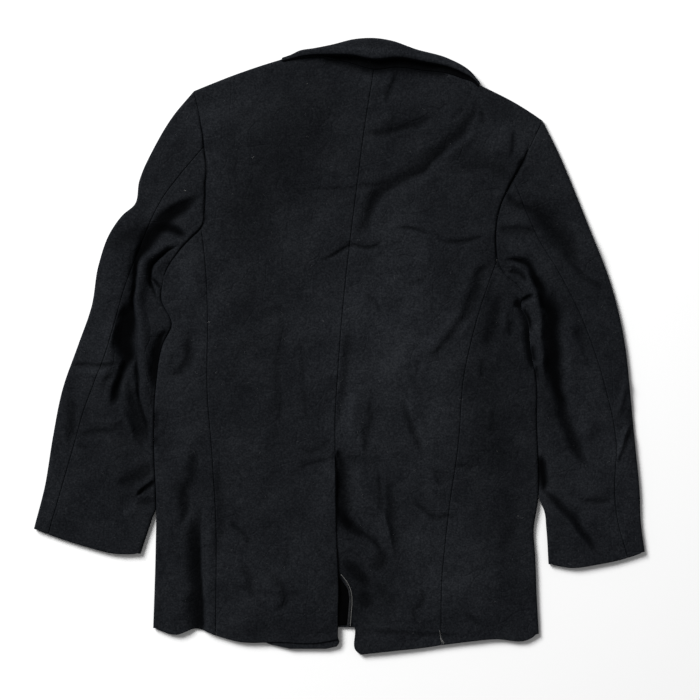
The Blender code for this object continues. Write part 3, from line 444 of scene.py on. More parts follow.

# Hollows between folds: their sides are steeper than a fold's, and their painted shade deeper. The
# columns are the same.
HOLLOWS = [
    # right sleeve
    ([(224, 115.4), (232, 117), (242, 116), (252, 112), (259, 103), (266, 89), (273, 72)],
     4.4, 3.6, -9),
    ([(258, 104), (266, 90), (273, 74), (281, 55), (286, 38)], 6, 4.5, -9),
    ([(287, 84), (288, 50), (288, 10), (290, -30), (295, -60), (301, -90)], 9.5, 9, -11),
    ([(291, -40), (297, -70), (303, -97), (311, -117), (321, -133), (332, -156), (338, -168)],
     8, 6.5, -5.2),
    ([(242, 66), (246, 56), (252, 40), (256, 20), (258, 0), (261, -22), (265, -46)], 4.5, 5.5, -10),
    ([(249, 60), (257, 66), (264, 73)], 2.4, 2.4, -6),
    ([(240, 52), (246, 56), (252, 60)], 4.5, 4, -8),
    ([(272, -146), (273, -164), (275, -180), (276, -196)], 6, 4, -11),
    ([(268, -188), (284, -198), (296, -211), (308, -226), (320, -240), (334, -256), (354, -287)],
     4.6, 4.6, -5.2),
    # beside the vent and at the lower left
    ([(-3, -140), (-2.6, -170), (-1.8, -200), (-1.2, -228), (-0.6, -252)], 13, 1.3, -5.4),
    ([(0, -212), (5, -228), (13, -241), (26, -250), (42, -257)], 6, 6, -5),
    ([(-1, -138), (1, -152), (3, -168)], 6, 2, -3),
    ([(3, -229), (9, -239), (17, -247)], 8, 8, -4),
    ([(6, -284), (16, -299), (29, -312), (45, -325)], 8, 9, -3.8),
    ([(38, -330), (36, -342), (32, -356)], 9, 9, -2.8),
    ([(64, -270), (58, -286), (44, -304)], 7, 10, -2.8),
    ([(-187, -214), (-188, -250), (-189, -285), (-188, -325), (-186, -370), (-185, -430)],
     3.4, 14, -7.5),
    # left sleeve
    ([(-184, 202), (-209, 190), (-227, 177), (-242, 163), (-257, 147), (-266, 128), (-273, 104)],
     9, 9, -9.5),
    ([(-256, 158), (-240, 162), (-226, 160), (-216, 155), (-203, 146)], 5, 6, -6.5),
    ([(-264, 134), (-270, 110), (-275, 80), (-277, 50), (-278, 24)], 2, 3.4, -7),
    ([(-262, 138), (-272, 112), (-280, 84)], 5, 9, -3),
    ([(-280, 62), (-285, 36), (-287, 8), (-284, -16), (-287, -34)], 9, 11, -12),
    ([(-284, -10), (-291, -30), (-297, -50), (-303, -66), (-307, -84)], 5.5, 5, -8),
    ([(-274, -4), (-270, -46), (-265, -83), (-262, -106), (-259, -132)], 2, 3, -5),
    ([(-284, -40), (-279, -66), (-272, -98), (-267, -126), (-266, -142)], 7, 8, -3.6),
    ([(-216, 134), (-228, 131), (-239, 124), (-248, 112), (-254, 98), (-255, 86), (-250, 76),
      (-240, 62)], 2.2, 2.4, -8),
    ([(-254, 94), (-246, 85), (-236, 75)], 2.2, 2.2, -6),
    ([(-230, 27), (-240, 13), (-244, -1), (-246, -18), (-248, -38), (-250, -62)], 3, 6, -11),
    ([(-246, -178), (-256, -185), (-264, -192), (-275, -202)], 3, 3, -8),
]

# The armhole seams lie in a groove with painted shade in it, and so do the sleeves' edges beside
# the coat
HOLLOWS += [(table["armhole"], 1.5, 1.5, -2.4) for table in (LEFT, RIGHT)]
HOLLOWS += [(LEFT["edge"][:7], 2.0, 3.0, -3.6), (RIGHT["edge"][:8], 2.6, 2.0, -2.4)]

# Painted shade along a line, under the collar's roll and beside the left armhole
PAINTED_SHADE_LINES = [
    # line, left width, right width, share lighter or darker
    ([(-14, 388), (11, 383), (47, 373), (78, 376), (113, 372), (140, 368.5)], 2, 7, -0.86),
    ([(-258, 146), (-268, 124), (-275, 100), (-280, 70), (-285, 40)], 3, 14, -0.30),
]

# Wide patches of painted light and shade, for how the light falls over the broad swells and dips of
# the cloth
PAINTED_LIGHT_PATCHES = [
    # x, y, reach along, reach across, degrees that it is turned, share lighter or darker
    (-50, 300, 80, 46, 62, -0.36), (-118, 196, 78, 40, 60, -0.32), (-166, 190, 95, 15, 90, 0.22),
    (72, 30, 115, 66, 80, 0.42), (12, -105, 44, 22, 90, 0.30), (-20, -20, 100, 34, 90, 0.12),
    (105, 290, 70, 46, 40, -0.10), (32, -332, 40, 24, -60, -0.22), (8, -200, 58, 8, -86, -0.35),
    (-240, 160, 34, 14, 40, -0.30), (-284, 148, 29, 14, 20, -0.55), (-345, -95, 45, 30, 90, -0.12),
    (292, 160, 50, 18, -50, -0.20), (215, -200, 90, 26, 90, -0.14), (205, -70, 90, 30, 84, -0.22),
    (222, -255, 50, 12, 90, -0.18), (218, -146, 36, 30, 90, -0.14), (205, 40, 60, 20, 75, -0.16),
    (-230, 262, 50, 30, 70, -0.11), (-285, -110, 34, 24, 60, -0.25), (120, -110, 150, 34, 95, 0.16),
    (22, -340, 60, 26, 80, -0.26), (-206, 96, 36, 14, 88, 0.30),
    (280, -78, 46, 15, -70, -0.36), (306, 62, 24, 14, 90, -0.36), (-302, -190, 60, 34, 60, -0.10),
    (-120, 60, 120, 26, 88, -0.12), (-88, -100, 90, 22, 90, -0.08), (100, 168, 46, 26, 20, 0.12),
    (140, -300, 100, 74, 90, 0.24), (354, -170, 110, 44, 96, 0.30), (-210, -60, 110, 22, 90, 0.08),
    (-100, -300, 110, 80, 90, 0.08),
]


def smooth_line(rows, step=1.5):
    """Closely spaced points on a smooth curve through the rows of a table."""
    rows = np.array(rows, float)
    lengths = np.linalg.norm(np.diff(rows, axis=0), axis=1)
    slopes = np.diff(rows, axis=0) / lengths[:, None]
    tangents = np.vstack([slopes[:1], slopes, slopes[-1:]])
    before = np.concatenate([lengths[:1], lengths])[:, None]
    after = np.concatenate([lengths, lengths[-1:]])[:, None]
    tangents = (tangents[:-1] * after + tangents[1:] * before) / (before + after)
    points = []
    for i, length in enumerate(lengths):
        t = np.linspace(0, 1, max(2, round(length / step)), endpoint=False)[:, None]
        points.append(
            (2 * t**3 - 3 * t**2 + 1) * rows[i]
            + (t**3 - 2 * t**2 + t) * length * tangents[i]
            + (3 * t**2 - 2 * t**3) * rows[i + 1]
            + (t**3 - t**2) * length * tangents[i + 1]
        )
    return np.vstack(points + [rows[-1:]])


def along(line):
    """Distance along the line at each of its points."""
    return np.concatenate([[0], np.cumsum(np.linalg.norm(np.diff(line, axis=0), axis=1))])


def evenly(line, step):
    """The line in equal lengths of about this step, with both its ends."""
    line = np.asarray(line, float)
    distance = along(line)
    marks = np.linspace(0, distance[-1], max(1, round(distance[-1] / step)) + 1)
    return np.column_stack([np.interp(marks, distance, part) for part in line.T])


def tangents_of(line):
    """The direction of the line at each of its points."""
    ahead = np.gradient(line, axis=0)
    return ahead / np.linalg.norm(ahead, axis=1)[:, None]


def left_of(directions):
    """Each direction turned a quarter to its left."""
    return np.column_stack([-directions[:, 1], directions[:, 0]])


def shifted(line, amount):
    """The line moved sideways, to its left where amount is over zero."""
    return line + amount * left_of(tangents_of(line))


def nearest(line, point):
    """Which of the line's points is nearest to another."""
    return int(np.argmin(np.linalg.norm(line - np.array(point, float), axis=1)))


def between(line, first, last):
    """The stretch of a close line between its points nearest to two others."""
    return line[nearest(line, first) : nearest(line, last) + 1]


def joined(line, other):
    """The line with its first point moved to the nearest point of another."""
    return np.vstack([other[nearest(other, line[0])], line[1:]])


def pulled(line, start, end):
    """The line without its first and last few millimetres."""
    distance = along(line)
    return line[(distance >= start) & (distance <= distance[-1] - end)]


def inside(points, loop):
    """Which points lie inside a closed loop."""
    found = np.zeros(len(points), bool)
    for (ax, ay), (bx, by) in zip(loop, np.roll(loop, -1, axis=0)):
        if ay == by:
            continue
        spans = (points[:, 1] > min(ay, by)) & (points[:, 1] <= max(ay, by))
        crossing = ax + (points[spans, 1] - ay) * (bx - ax) / (by - ay)
        found[spans] ^= crossing > points[spans, 0]
    return found


def ease(t):
    """A smooth rise from zero to one as t does."""
    t = np.clip(t, 0, 1)
    return t * t * (3 - 2 * t)


def unit(vector):
    return vector / np.linalg.norm(vector)


def tree_of(points):
    """Points in the plane, ready to be searched for the nearest."""
    tree = KDTree(len(points))
    for k, (x, y) in enumerate(points):
        tree.insert((x, y, 0), k)
    tree.balance()
    return tree


def room_around(points, tree):
    """How far each point is from the nearest of a tree."""
    return np.array([tree.find((x, y, 0))[2] for x, y in points])


LINES = {
    side: {name: smooth_line(rows) for name, rows in table.items()}
    for side, table in (("left", LEFT), ("right", RIGHT))
}
OUTLINE = [
    evenly(LINES[side][name], OUTLINE_STEP)
    for side in LINES
    for name in ("shoulder", "edge", "hem", "sleeve_outer", "sleeve_inner_end", "cuff")
]
OUTLINE += [
    evenly(smooth_line(rows), OUTLINE_STEP) for rows in (FLAP_HEM, UNDERLAP_HEM, COLLAR_EDGE)
]
FOLD_LINES = [evenly(smooth_line(fold[0]), LINE_STEP) for fold in FOLDS + HOLLOWS]


def centre_of_front(y):
    """The x of the coat's slightly slanted centre line, at a given y."""
    return CENTRE_X + CENTRE_SLANT * np.maximum(y, VENT_TOP)


BUTTONS = [
    (centre_of_front(y) + side * BUTTON_COLUMN, y) for y in BUTTON_ROWS for side in (-1, 1)
]


def dome(points):
    """How far the fronts are lifted by the buttons under them."""
    lift = np.zeros(len(points))
    for button in BUTTONS:
        away = np.linalg.norm(points - button, axis=1)
        lift = np.maximum(lift, np.clip((DOME_FOOT - away) / (DOME_FOOT - DOME_FLAT), 0, 1))
    return lift * (BUTTON_HEIGHT + SEAM_GAP)


def front_right_base(points):
    """The floor side of the right front, which lies over the left one's inside and the buttons."""
    past = points[:, 0] - centre_of_front(points[:, 1]) - FRONT_OVERLAP - 1
    return (WALL + SEAM_GAP) * (1 - np.clip(past / RAMP, 0, 1)) + dome(points)


def uneven(shape, spread, seed):
    """Smooth uneven values about zero, over features of about this many millimetres."""
    values = np.fft.rfft2(np.random.default_rng(seed).standard_normal(shape))
    ky = np.fft.fftfreq(shape[0], GRID)[:, None]
    kx = np.fft.rfftfreq(shape[1], GRID)[None]
    values *= np.exp(-2 * math.pi**2 * spread**2 * (kx**2 + ky**2))
    values = np.fft.irfft2(values, shape)
    return values / values.std()


class HeightMap:
    """The top of the cloth over an even grid: its edges, its folds and its unevenness, and the
    painted light and shade of its colour.
    """

    def __init__(self):
        self.low = np.array(MAP_LOW)
        self.x, self.y = (np.arange(low, high, GRID) for low, high in zip(MAP_LOW, MAP_HIGH))
        shape = (len(self.y), len(self.x))
        self.wander = [WANDER * uneven(shape, WANDER_SPREAD, seed) for seed in WANDER_SEEDS]
        from_edge = np.full(shape, RISE)
        for line in OUTLINE:
            part, away, _ = self.from_line(line, RISE, 0)
            from_edge[part] = np.minimum(from_edge[part], np.abs(away))
        self.z = EDGE_HEIGHT + (MIDDLE_HEIGHT - EDGE_HEIGHT) * ease(from_edge / RISE)
        calm = EDGE_CALM + (1 - EDGE_CALM) * ease(from_edge / CALM_REACH)
        for spread, height, seed in UNEVEN:
            self.z += calm * height * uneven(shape, spread, seed)
        # Painted light and shade: a factor on the cloth's colour, from wide patches, folds and
        # hollows, and shaded lines
        self.tone = np.ones(shape)
        for x, y, along_it, across_it, turned, share in PAINTED_LIGHT_PATCHES:
            dx, dy = self.x[None] - x, self.y[:, None] - y
            cos, sin = math.cos(math.radians(turned)), math.sin(math.radians(turned))
            ahead, aside = (dx * cos + dy * sin) / along_it, (dy * cos - dx * sin) / across_it
            self.tone *= 1 + share * np.exp(-(ahead**2 + aside**2))
        shapes = [(FOLD_POWER, FOLD_PAINTED_SHADE)] * len(FOLDS)
        shapes += [(HOLLOW_POWER, HOLLOW_PAINTED_SHADE)] * len(HOLLOWS)
        rows = zip(FOLDS + HOLLOWS, FOLD_LINES, shapes)
        for (_, left, right, rise), line, (power, darker) in rows:
            part, away, where = self.from_line(line, FOLD_REACH * max(left, right), 1)
            from_end = np.minimum(where, 1 - where) / FOLD_END
            width = np.where(away > 0, left, right) * (END_WIDTH + (1 - END_WIDTH) * ease(from_end))
            height = rise * ease(from_end + END_RISE) * np.exp(-(np.abs(away / width) ** power))
            self.z[part] += height
            # painted shade in a hollow, for the shade of the undercut fold, and a painted highlight
            # on a ridge
            self.tone[part] *= np.exp(np.where(height < 0, darker, RIDGE_PAINTED_HIGHLIGHT) * height)
        for row, left, right, share in PAINTED_SHADE_LINES:
            line = evenly(smooth_line(row), LINE_STEP)
            part, away, _ = self.from_line(line, FOLD_REACH * max(left, right), 0)
            self.tone[part] *= 1 + share * np.exp(-((away / np.where(away > 0, left, right)) ** 2))

    def from_line(self, line, reach, bend):
        """The part of the grid near a line, the distance there, over zero to its left, and how far
        along the line it is."""
        first = np.maximum(((line.min(axis=0) - reach - self.low) / GRID).astype(int), 0)
        last = ((line.max(axis=0) + reach - self.low) / GRID).astype(int) + 1
        part = slice(first[1], last[1]), slice(first[0], last[0])
        x = self.x[None, part[1]] + bend * self.wander[0][part]
        y = self.y[part[0], None] + bend * self.wander[1][part]
        best = np.full(x.shape, np.inf)
        side, where = np.ones(x.shape), np.zeros(x.shape)
        distance = along(line)
        for a, b, start, end in zip(line, line[1:], distance, distance[1:]):
            ahead = b - a
            t = np.clip(((x - a[0]) * ahead[0] + (y - a[1]) * ahead[1]) / (ahead @ ahead), 0, 1)
            dx, dy = x - a[0] - t * ahead[0], y - a[1] - t * ahead[1]
            away = dx * dx + dy * dy
            closer = away < best
            best[closer] = away[closer]
            side[closer] = (ahead[0] * dy - ahead[1] * dx)[closer]
            where[closer] = (start + t * (end - start))[closer]
        return part, np.sqrt(best) * np.where(side > 0, 1, -1), where / distance[-1]

    def at(self, points, values=None):
        """The height at some points, or another of the map's values."""
        values = self.z if values is None else values
        place = np.clip((points - self.low) / GRID, 0, (self.z.shape[1] - 2, self.z.shape[0] - 2))
        column, row = place.astype(int).T
        across, up = (place - place.astype(int)).T
        below = values[row, column] * (1 - across) + values[row, column + 1] * across
        above = values[row + 1, column] * (1 - across) + values[row + 1, column + 1] * across
        return below * (1 - up) + above * up


MAP = HeightMap()


def resting_height(points):
    """The lowest that the top of the cloth can lie: on the fronts, or on the floor layer."""
    across = points[:, 0] - centre_of_front(points[:, 1])
    past_left = ease((across + FRONT_OVERLAP + OVER_LEFT) / OVER_EASE)
    over_both = past_left * ease((FRONT_OVERLAP + OVER_RIGHT - across) / OVER_EASE)
    return 2 * (WALL + SEAM_GAP) - SEAM_GAP + (WALL + SEAM_GAP) * over_both + dome(points)


def cloth_height(points):
    """The top of the cloth, softly kept above what it lies on."""
    lowest = resting_height(points)
    spare = MAP.at(points) - lowest
    return lowest + 0.5 * (spare + np.sqrt(spare**2 + REST_SOFTNESS**2))


def vent_nearness(points):
    """One at the vent and zero away from it."""
    across = np.abs(points[:, 0] - VENT_X)
    beside = 1 - ease((across - VENT_NEAR) / (VENT_FAR - VENT_NEAR))
    return beside * ease((VENT_TOP - points[:, 1]) / VENT_PART)


def back_left_height(points):
    """The top of the left back, which is the vent's flap below the vent's top."""
    near = vent_nearness(points)
    bulge = np.maximum(MAP.at(points) - MIDDLE_HEIGHT, -FLAP_SINK)
    return cloth_height(points) * (1 - near) + (FLAP_HEIGHT + bulge) * near


def back_right_height(points):
    """The top of the right back, which is the vent's underlap below the vent's top."""
    near = vent_nearness(points)
    past_flap = ease((points[:, 0] - PAST_FLAP) / PAST_FLAP_EASE)
    bulge = np.clip((MAP.at(points) - MIDDLE_HEIGHT) * past_flap, 0, UNDERLAP_RISE)
    return cloth_height(points) * (1 - near) + (UNDERLAP_HEIGHT + bulge) * near


def rounding(away):
    """How far a cut edge or a seam is rounded down, by the distance from it."""
    share = np.clip(1 - away / ROUND_WIDTH, 0, 1)
    return ROUND_DROP * (1 - np.sqrt(1 - share**2))


class Cloth:
    """A wall of cloth: outer points, the inner points behind them, and the cut edges between."""

    def __init__(self, height, base=None, wall=WALL):
        self.height, self.base, self.wall = height, base, wall
        self.outer, self.inner, self.triangles, self.tone = [], [], [], []

    def put(self, outer, inner, tone=1.0):
        """Adds points of both sides and gives their numbers."""
        first = len(self.outer)
        self.outer.extend(outer)
        self.inner.extend(inner)
        self.tone.extend(np.broadcast_to(tone, len(outer)))
        return list(range(first, len(self.outer)))

    def on_top(self, plan, drop=0.0):
        """Points of the top layer, its outer side let down by drop at rounded edges."""
        plan = np.asarray(plan, float).reshape(-1, 2)
        z = self.height(plan)
        outer, inner = (np.column_stack([plan, z - down]) for down in (drop, self.wall))
        return self.put(outer, inner, MAP.at(plan, MAP.tone))

    def on_floor(self, plan, drop=0.0):
        """Points of the floor layer. It has no rounded edges, so the drop has no use here."""
        plan = np.asarray(plan, float).reshape(-1, 2)
        z = self.base(plan) if self.base else np.zeros(len(plan))
        return self.put(np.column_stack([plan, z]), np.column_stack([plan, z + self.wall]))

    def round_edge(self, edge, out):
        """Half circles from the top layer to the floor, one at each point of a fold's edge."""
        middle, radius = fold_middle(self.height, edge, out)
        # The painted light and shade of the top fades out round the fold, to none at the floor
        tone = MAP.at(middle, MAP.tone)
        rings = []
        for angle in np.linspace(0, math.pi, ARC_STEPS + 1):
            rim = []
            for reach in (radius, radius - self.wall):
                plan = middle + reach[:, None] * math.sin(angle) * out
                rim.append(np.column_stack([plan, radius + reach * math.cos(angle)]))
            rings.append(self.put(*rim, tone + (1 - tone) * angle / math.pi))
        for ring, following in zip(rings, rings[1:]):
            self.strip(ring, following)
        return rings[0], rings[-1]

    def strip(self, ring, following):
        """Triangles between two rows of as many points."""
        for a, b, c, d in zip(ring, ring[1:], following[1:], following):
            self.triangles += [(a, b, c), (a, c, d)]

    def fill(self, ring, rest, place, step, creases=()):
        """Triangles inside the loop of a ring and further points, rounded off along the latter."""
        ends = [self.outer[k][:2] for k in (ring[0], ring[-1])] if ring else [(FAR, FAR)]
        fine = step is not None

        def edge_drop(points, away):
            free = np.min([np.linalg.norm(points - end, axis=1) for end in ends], axis=0)
            return self.wall / WALL * rounding(away) * ease(free / FOLD_CLEAR)

        drop = edge_drop(rest, np.zeros(len(rest))) if fine else 0.0
        loop = list(ring) + place(rest, drop)
        plan = np.array([self.outer[k][:2] for k in loop])
        ties = [(k, (k + 1) % len(loop)) for k in range(len(loop))]
        extra = np.zeros((0, 2))
        for crease in creases:
            first = len(loop) + len(extra)
            extra = np.vstack([extra, crease])
            ties += [(k, k + 1) for k in range(first, first + len(crease) - 1)]
        drops = np.zeros(len(extra))
        if fine:
            more, rounded = inner_points(plan, rest, step, edge_drop)
            extra, drops = np.vstack([extra, more]), np.concatenate([drops, rounded])
        spots = np.vstack([plan, extra])
        made = delaunay_2d_cdt([Vector(p) for p in spots], ties, [], 0, MERGE, True)
        index = loop + (place(extra, drops) if len(extra) else [])
        corners = np.array([[made[3][k][0] for k in triangle] for triangle in made[2]])
        for triangle in corners[inside(spots[corners].mean(axis=1), plan)]:
            self.triangles.append(tuple(index[k] for k in triangle))

    def piece(self, name, material, node):
        """The finished piece: both sides, and a strip between them along each cut edge."""
        outer, inner = np.array(self.outer), np.array(self.inner)
        count = len(outer)
        faces = np.array(self.triangles)
        ends = np.concatenate([faces[:, [0, 1]], faces[:, [1, 2]], faces[:, [2, 0]]])
        _, first, uses = np.unique(
            np.sort(ends, axis=1), axis=0, return_index=True, return_counts=True
        )
        rim = ends[first[uses == 1]]
        sides = np.vstack([
            np.column_stack([rim[:, 1], rim[:, 0], count + rim[:, 0]]),
            np.column_stack([rim[:, 1], count + rim[:, 0], count + rim[:, 1]]),
        ])
        faces = np.vstack([faces, count + faces[:, ::-1], sides])
        obj = mesh_object(name, np.vstack([outer, inner]), faces, material)
        tone = obj.data.attributes.new("tone", "FLOAT", "POINT")
        tone.data.foreach_set("value", np.tile(self.tone, 2))
        return finished(obj, *([node] if node else []))


def inner_points(loop, rest, step, edge_drop):
    """Points inside a loop: rows beside its edges and along the folds, and an even pattern."""
    tree = tree_of(evenly(np.vstack([loop, loop[:1]]), 1.0))
    rows = []
    x, y = loop.T
    turn = 1 if np.sum(x * np.roll(y, -1) - y * np.roll(x, -1)) > 0 else -1
    dense = evenly(rest, step * EDGE_ROW_STEP)
    for away in EDGE_ROWS:
        points = shifted(dense, turn * away)
        points = points[inside(points, loop)]
        if len(points):
            clear = room_around(points, tree) > EDGE_ROW_CLEAR * away - EDGE_ROW_SLACK
            rows.append((points[clear], EDGE_ROW_APART))
    for (_, left, right, _), line in zip(FOLDS + HOLLOWS, FOLD_LINES):
        if min(left, right) > NARROW_FOLD:
            continue
        middle = evenly(line, step)
        for share in FOLD_ROWS:
            points = shifted(middle, share * (left if share > 0 else right))
            points = points[inside(points, loop)]
            if len(points):
                rows.append((points[room_around(points, tree) > FOLD_ROW_CLEAR], FOLD_ROW_APART))
    kept = np.array(spaced(rows))
    low, high = loop.min(axis=0), loop.max(axis=0)
    y = np.arange(low[1], high[1], step * ROW_HEIGHT)
    x = np.arange(low[0], high[0], step)
    even = np.array([(v + 0.5 * step * (k % 2), w) for k, w in enumerate(y) for v in x])
    even += UNEVEN_STEP * step * np.sin(even[:, ::-1] * 1.7)
    even = even[inside(even, loop)]
    even = even[room_around(even, tree) > EVEN_CLEAR]
    if len(kept):
        even = even[room_around(even, tree_of(kept)) > EVEN_APART * step]
        even = np.vstack([kept, even])
    return even, edge_drop(even, room_around(even, tree))


def spaced(rows):
    """The points of some rows, without those too near to one that is kept already."""
    kept, cells = [], {}
    for points, apart in rows:
        for point in points:
            cell = (int(point[0] // 1.0), int(point[1] // 1.0))
            near = (
                other
                for i in (-1, 0, 1)
                for j in (-1, 0, 1)
                for other in cells.get((cell[0] + i, cell[1] + j), ())
            )
            if all((point[0] - o[0]) ** 2 + (point[1] - o[1]) ** 2 > apart**2 for o in near):
                cells.setdefault(cell, []).append(point)
                kept.append(point)
    return kept


def in_metres(points):
    """Points of the tables' millimetres in the scene's metres."""
    return ((np.asarray(points) - (*ORIGIN, 0)) * MM).tolist()


def mesh_object(name, points, faces, material):
    """A smooth closed mesh with its faces outwards, from points in the tables' millimetres."""
    mesh = bpy.data.meshes.new(name)
    mesh.from_pydata(in_metres(points), [], np.asarray(faces).tolist())
    shell = bmesh.new()
    shell.from_mesh(mesh)
    bmesh.ops.recalc_face_normals(shell, faces=shell.faces)
    shell.to_mesh(mesh)
    shell.free()
    mesh.materials.append(material)
    mesh.shade_smooth()
    mesh.set_sharp_from_angle(angle=math.radians(SHARP_ANGLE))
    mesh.update()
    obj = bpy.data.objects.new(name, mesh)
    bpy.context.scene.collection.objects.link(obj)
    return obj


def finished(obj, *nodes):
    """Rides on the coat and stands for its solids, where it has any."""
    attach(obj, "root")
    if nodes:
        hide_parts(*nodes)
    return obj


def fold_middle(height, edge, out):
    """Centres and radii of the half circles in which the cloth folds round an edge."""
    radius = np.full(len(edge), EDGE_HEIGHT / 2)
    for _ in range(FOLD_ROUNDS):
        radius = np.maximum(height(edge - radius[:, None] * out) / 2, WALL + FOLD_ROOM)
    return edge - radius[:, None] * out, radius


def outward(edge, turn, first=None, last=None):
    """Directions out of a fold's edge, turned to given ones at its ends."""
    out = turn * left_of(tangents_of(edge))
    wide = np.ones(2 * CALM_POINTS + 1) / (2 * CALM_POINTS + 1)
    before, after = (np.repeat(end, CALM_POINTS, axis=0) for end in (out[:1], out[-1:]))
    padded = np.vstack([before, out, after])
    out = np.column_stack([np.convolve(part, wide, "valid") for part in padded.T])
    distance = along(edge)
    for given, from_end in ((first, distance), (last, distance[-1] - distance)):
        if given is not None:
            share = ease(from_end / TURN_REACH)[:, None]
            out = given * (1 - share) + out * share
    return out / np.linalg.norm(out, axis=1)[:, None]


def armhole_of(side, toward_body):
    """The armhole's line with half a seam gap on one side, and the directions in which it ends."""
    line = LINES[side]["armhole"]
    to_plus_x = (side == "left") == toward_body
    return (
        shifted(line, (1 if to_plus_x else -1) * SEAM_GAP / 2),
        unit(line[0] - line[4]),
        unit(line[-1] - line[-5]),
    )


def seam_stretch(line, first, last, step=FINE):
    """Even points on a stretch of a seam."""
    return evenly(between(line, first, last), step)


def shoulder_of(side):
    """The shoulder's edge, its outward directions and the line of the seam under it."""
    armhole, at_tip, _ = armhole_of(side, True)
    edge = evenly(LINES[side]["shoulder"], FINE)
    edge[-1] = armhole[0]
    out = outward(edge, -1 if side == "left" else 1, last=at_tip)
    height = back_left_height if side == "left" else back_right_height
    return edge, out, fold_middle(height, edge, out)[0] - SHOULDER_UNDER * out


def upper_armhole(side, armhole):
    """Armhole points from the shoulder fold to the elbow seam."""
    start = pulled(armhole, ARMHOLE_CLEAR, 0)
    return seam_stretch(start, armhole[0], LINES[side]["elbow_seam"][0])[1:]


def middle_armhole(side, armhole):
    """Armhole points from the elbow seam to the side-back seam."""
    return seam_stretch(armhole, LINES[side]["elbow_seam"][0], LINES[side]["seam"][0])


def lower_armhole(side, armhole):
    """Armhole points from the side-back seam to the underarm fold."""
    end = pulled(armhole, 0, ARMHOLE_CLEAR)
    return seam_stretch(end, LINES[side]["seam"][0], armhole[-1])[:-1]


def floor_armhole(side, armhole):
    """Armhole points of the floor layer, from the shoulder seam up to the side seam."""
    first, last = shoulder_of(side)[2][-1], LINES[side]["side_seam"][0]
    return seam_stretch(armhole, first, last, FLOOR_ARMHOLE_STEP)[:-1]


def floor_underarm(side, armhole):
    """Armhole points of the floor layer, between the side seam and the underarm fold."""
    whole = pulled(armhole, 0, ARMHOLE_CLEAR)
    side_seam = LINES[side]["side_seam"][0]
    return seam_stretch(whole, side_seam, whole[-1], FLOOR_ARMHOLE_STEP)[1:-1]


def neck_stations():
    """Points of the back neck seam, collar edge and front neck seam, one of each at a station."""
    back, edge, front = (smooth_line(rows) for rows in (BACK_NECK, COLLAR_EDGE, FRONT_NECK))
    back = between(back, *COLLAR_NECK_ENDS)
    halves = []
    for part in ("left", "right"):
        pieces = []
        for line, middle in zip((back, edge, front), COLLAR_MIDDLES):
            k = nearest(line, middle)
            pieces.append(line[: k + 1] if part == "left" else line[k:])
        count = round(along(pieces[0])[-1] / STATION_STEP)
        halves.append([evenly(line, along(line)[-1] / count) for line in pieces])
    left, right = halves
    return [np.vstack([a, b[1:]]) for a, b in zip(left, right)], len(left[0]) - 1


def make_back(side):
    """Half of the back, with the vent's flap or underlap, round the shoulder's fold to its seam."""
    lines = LINES[side]
    turn = -1 if side == "left" else 1
    cloth = Cloth(back_left_height if side == "left" else back_right_height)
    armhole = armhole_of(side, True)[0]
    edge, out, seam_under = shoulder_of(side)
    ring, floor_ring = cloth.round_edge(edge, out)
    cloth.strip(floor_ring, cloth.on_floor(seam_under))

    side_seam = joined(evenly(lines["seam"], FINE), armhole)
    side_seam = shifted(side_seam, -turn * SEAM_GAP / 2)
    arm = np.vstack([upper_armhole(side, armhole), middle_armhole(side, armhole)[1:-1]])
    centre = shifted(evenly(smooth_line(CENTRE_SEAM), FINE), turn * SEAM_GAP / 2)
    (neck, _, _), middle = neck_stations()
    if side == "left":
        vent = evenly(smooth_line(FLAP_EDGE), FINE)[1:-1]
        hem = evenly(smooth_line(FLAP_HEM), FINE)[:-1]
        neck = neck[1:middle][::-1]
    else:
        vent = evenly(smooth_line(UNDERLAP_EDGE), FINE)[1:-1]
        hem = evenly(smooth_line(UNDERLAP_HEM), FINE)[:-1]
        neck = neck[middle + 1 : -1]
    rest = np.vstack([arm, side_seam, hem[::-1], vent[::-1], centre[::-1], neck])
    cloth.fill(ring, rest, cloth.on_top, FINE)
    return cloth.piece(f"wool_back_{side}", WOOL, f"back_{side}")


def make_side(side):
    """The side-back panel, from the side-back seam round the fold to the side seam on the floor."""
    lines = LINES[side]
    turn = -1 if side == "left" else 1
    cloth = Cloth(cloth_height)
    armhole, _, at_underarm = armhole_of(side, True)
    edge = evenly(lines["edge"], FINE)
    edge[0] = armhole[-1]
    out = outward(edge, turn, first=at_underarm)
    ring, floor_ring = cloth.round_edge(edge, out)
    seam = shifted(joined(evenly(lines["seam"], FINE), armhole), turn * SEAM_GAP / 2)
    hem = evenly(pulled(lines["hem"], 0, HEM_CLEAR), FINE)
    rest = np.vstack([hem[::-1], seam[::-1][1:], lower_armhole(side, armhole)[1:]])
    cloth.fill(ring, rest, cloth.on_top, FINE)
    side_seam = joined(evenly(lines["side_seam"], FLOOR_STEP), armhole)
    side_seam = shifted(side_seam, turn * SEAM_GAP / 2)
    rest = np.vstack([side_seam[::-1], floor_underarm(side, armhole)])
    cloth.fill(floor_ring, rest, cloth.on_floor, None)
    return cloth.piece(f"wool_side_{side}", WOOL, f"side_{side}")


def sleeve_inner_edge(side):
    """The sleeve's edge beside the coat, from the underarm to the cuff."""
    lines = LINES[side]
    armhole = armhole_of(side, False)[0]
    turn = -1 if side == "left" else 1
    beside = between(lines["edge"], lines["edge"][0], lines["sleeve_inner_end"][0])
    grow = ease(along(beside) / SLEEVE_PART)[:, None]
    beside = beside + turn * (SEAM_GAP / 2 + (SLEEVE_GAP - SEAM_GAP / 2) * grow) * (1, 0)
    end = lines["sleeve_inner_end"]
    whole = evenly(np.vstack([beside[:-4], end[4:]]), FINE)
    whole[0] = armhole[-1]
    return whole


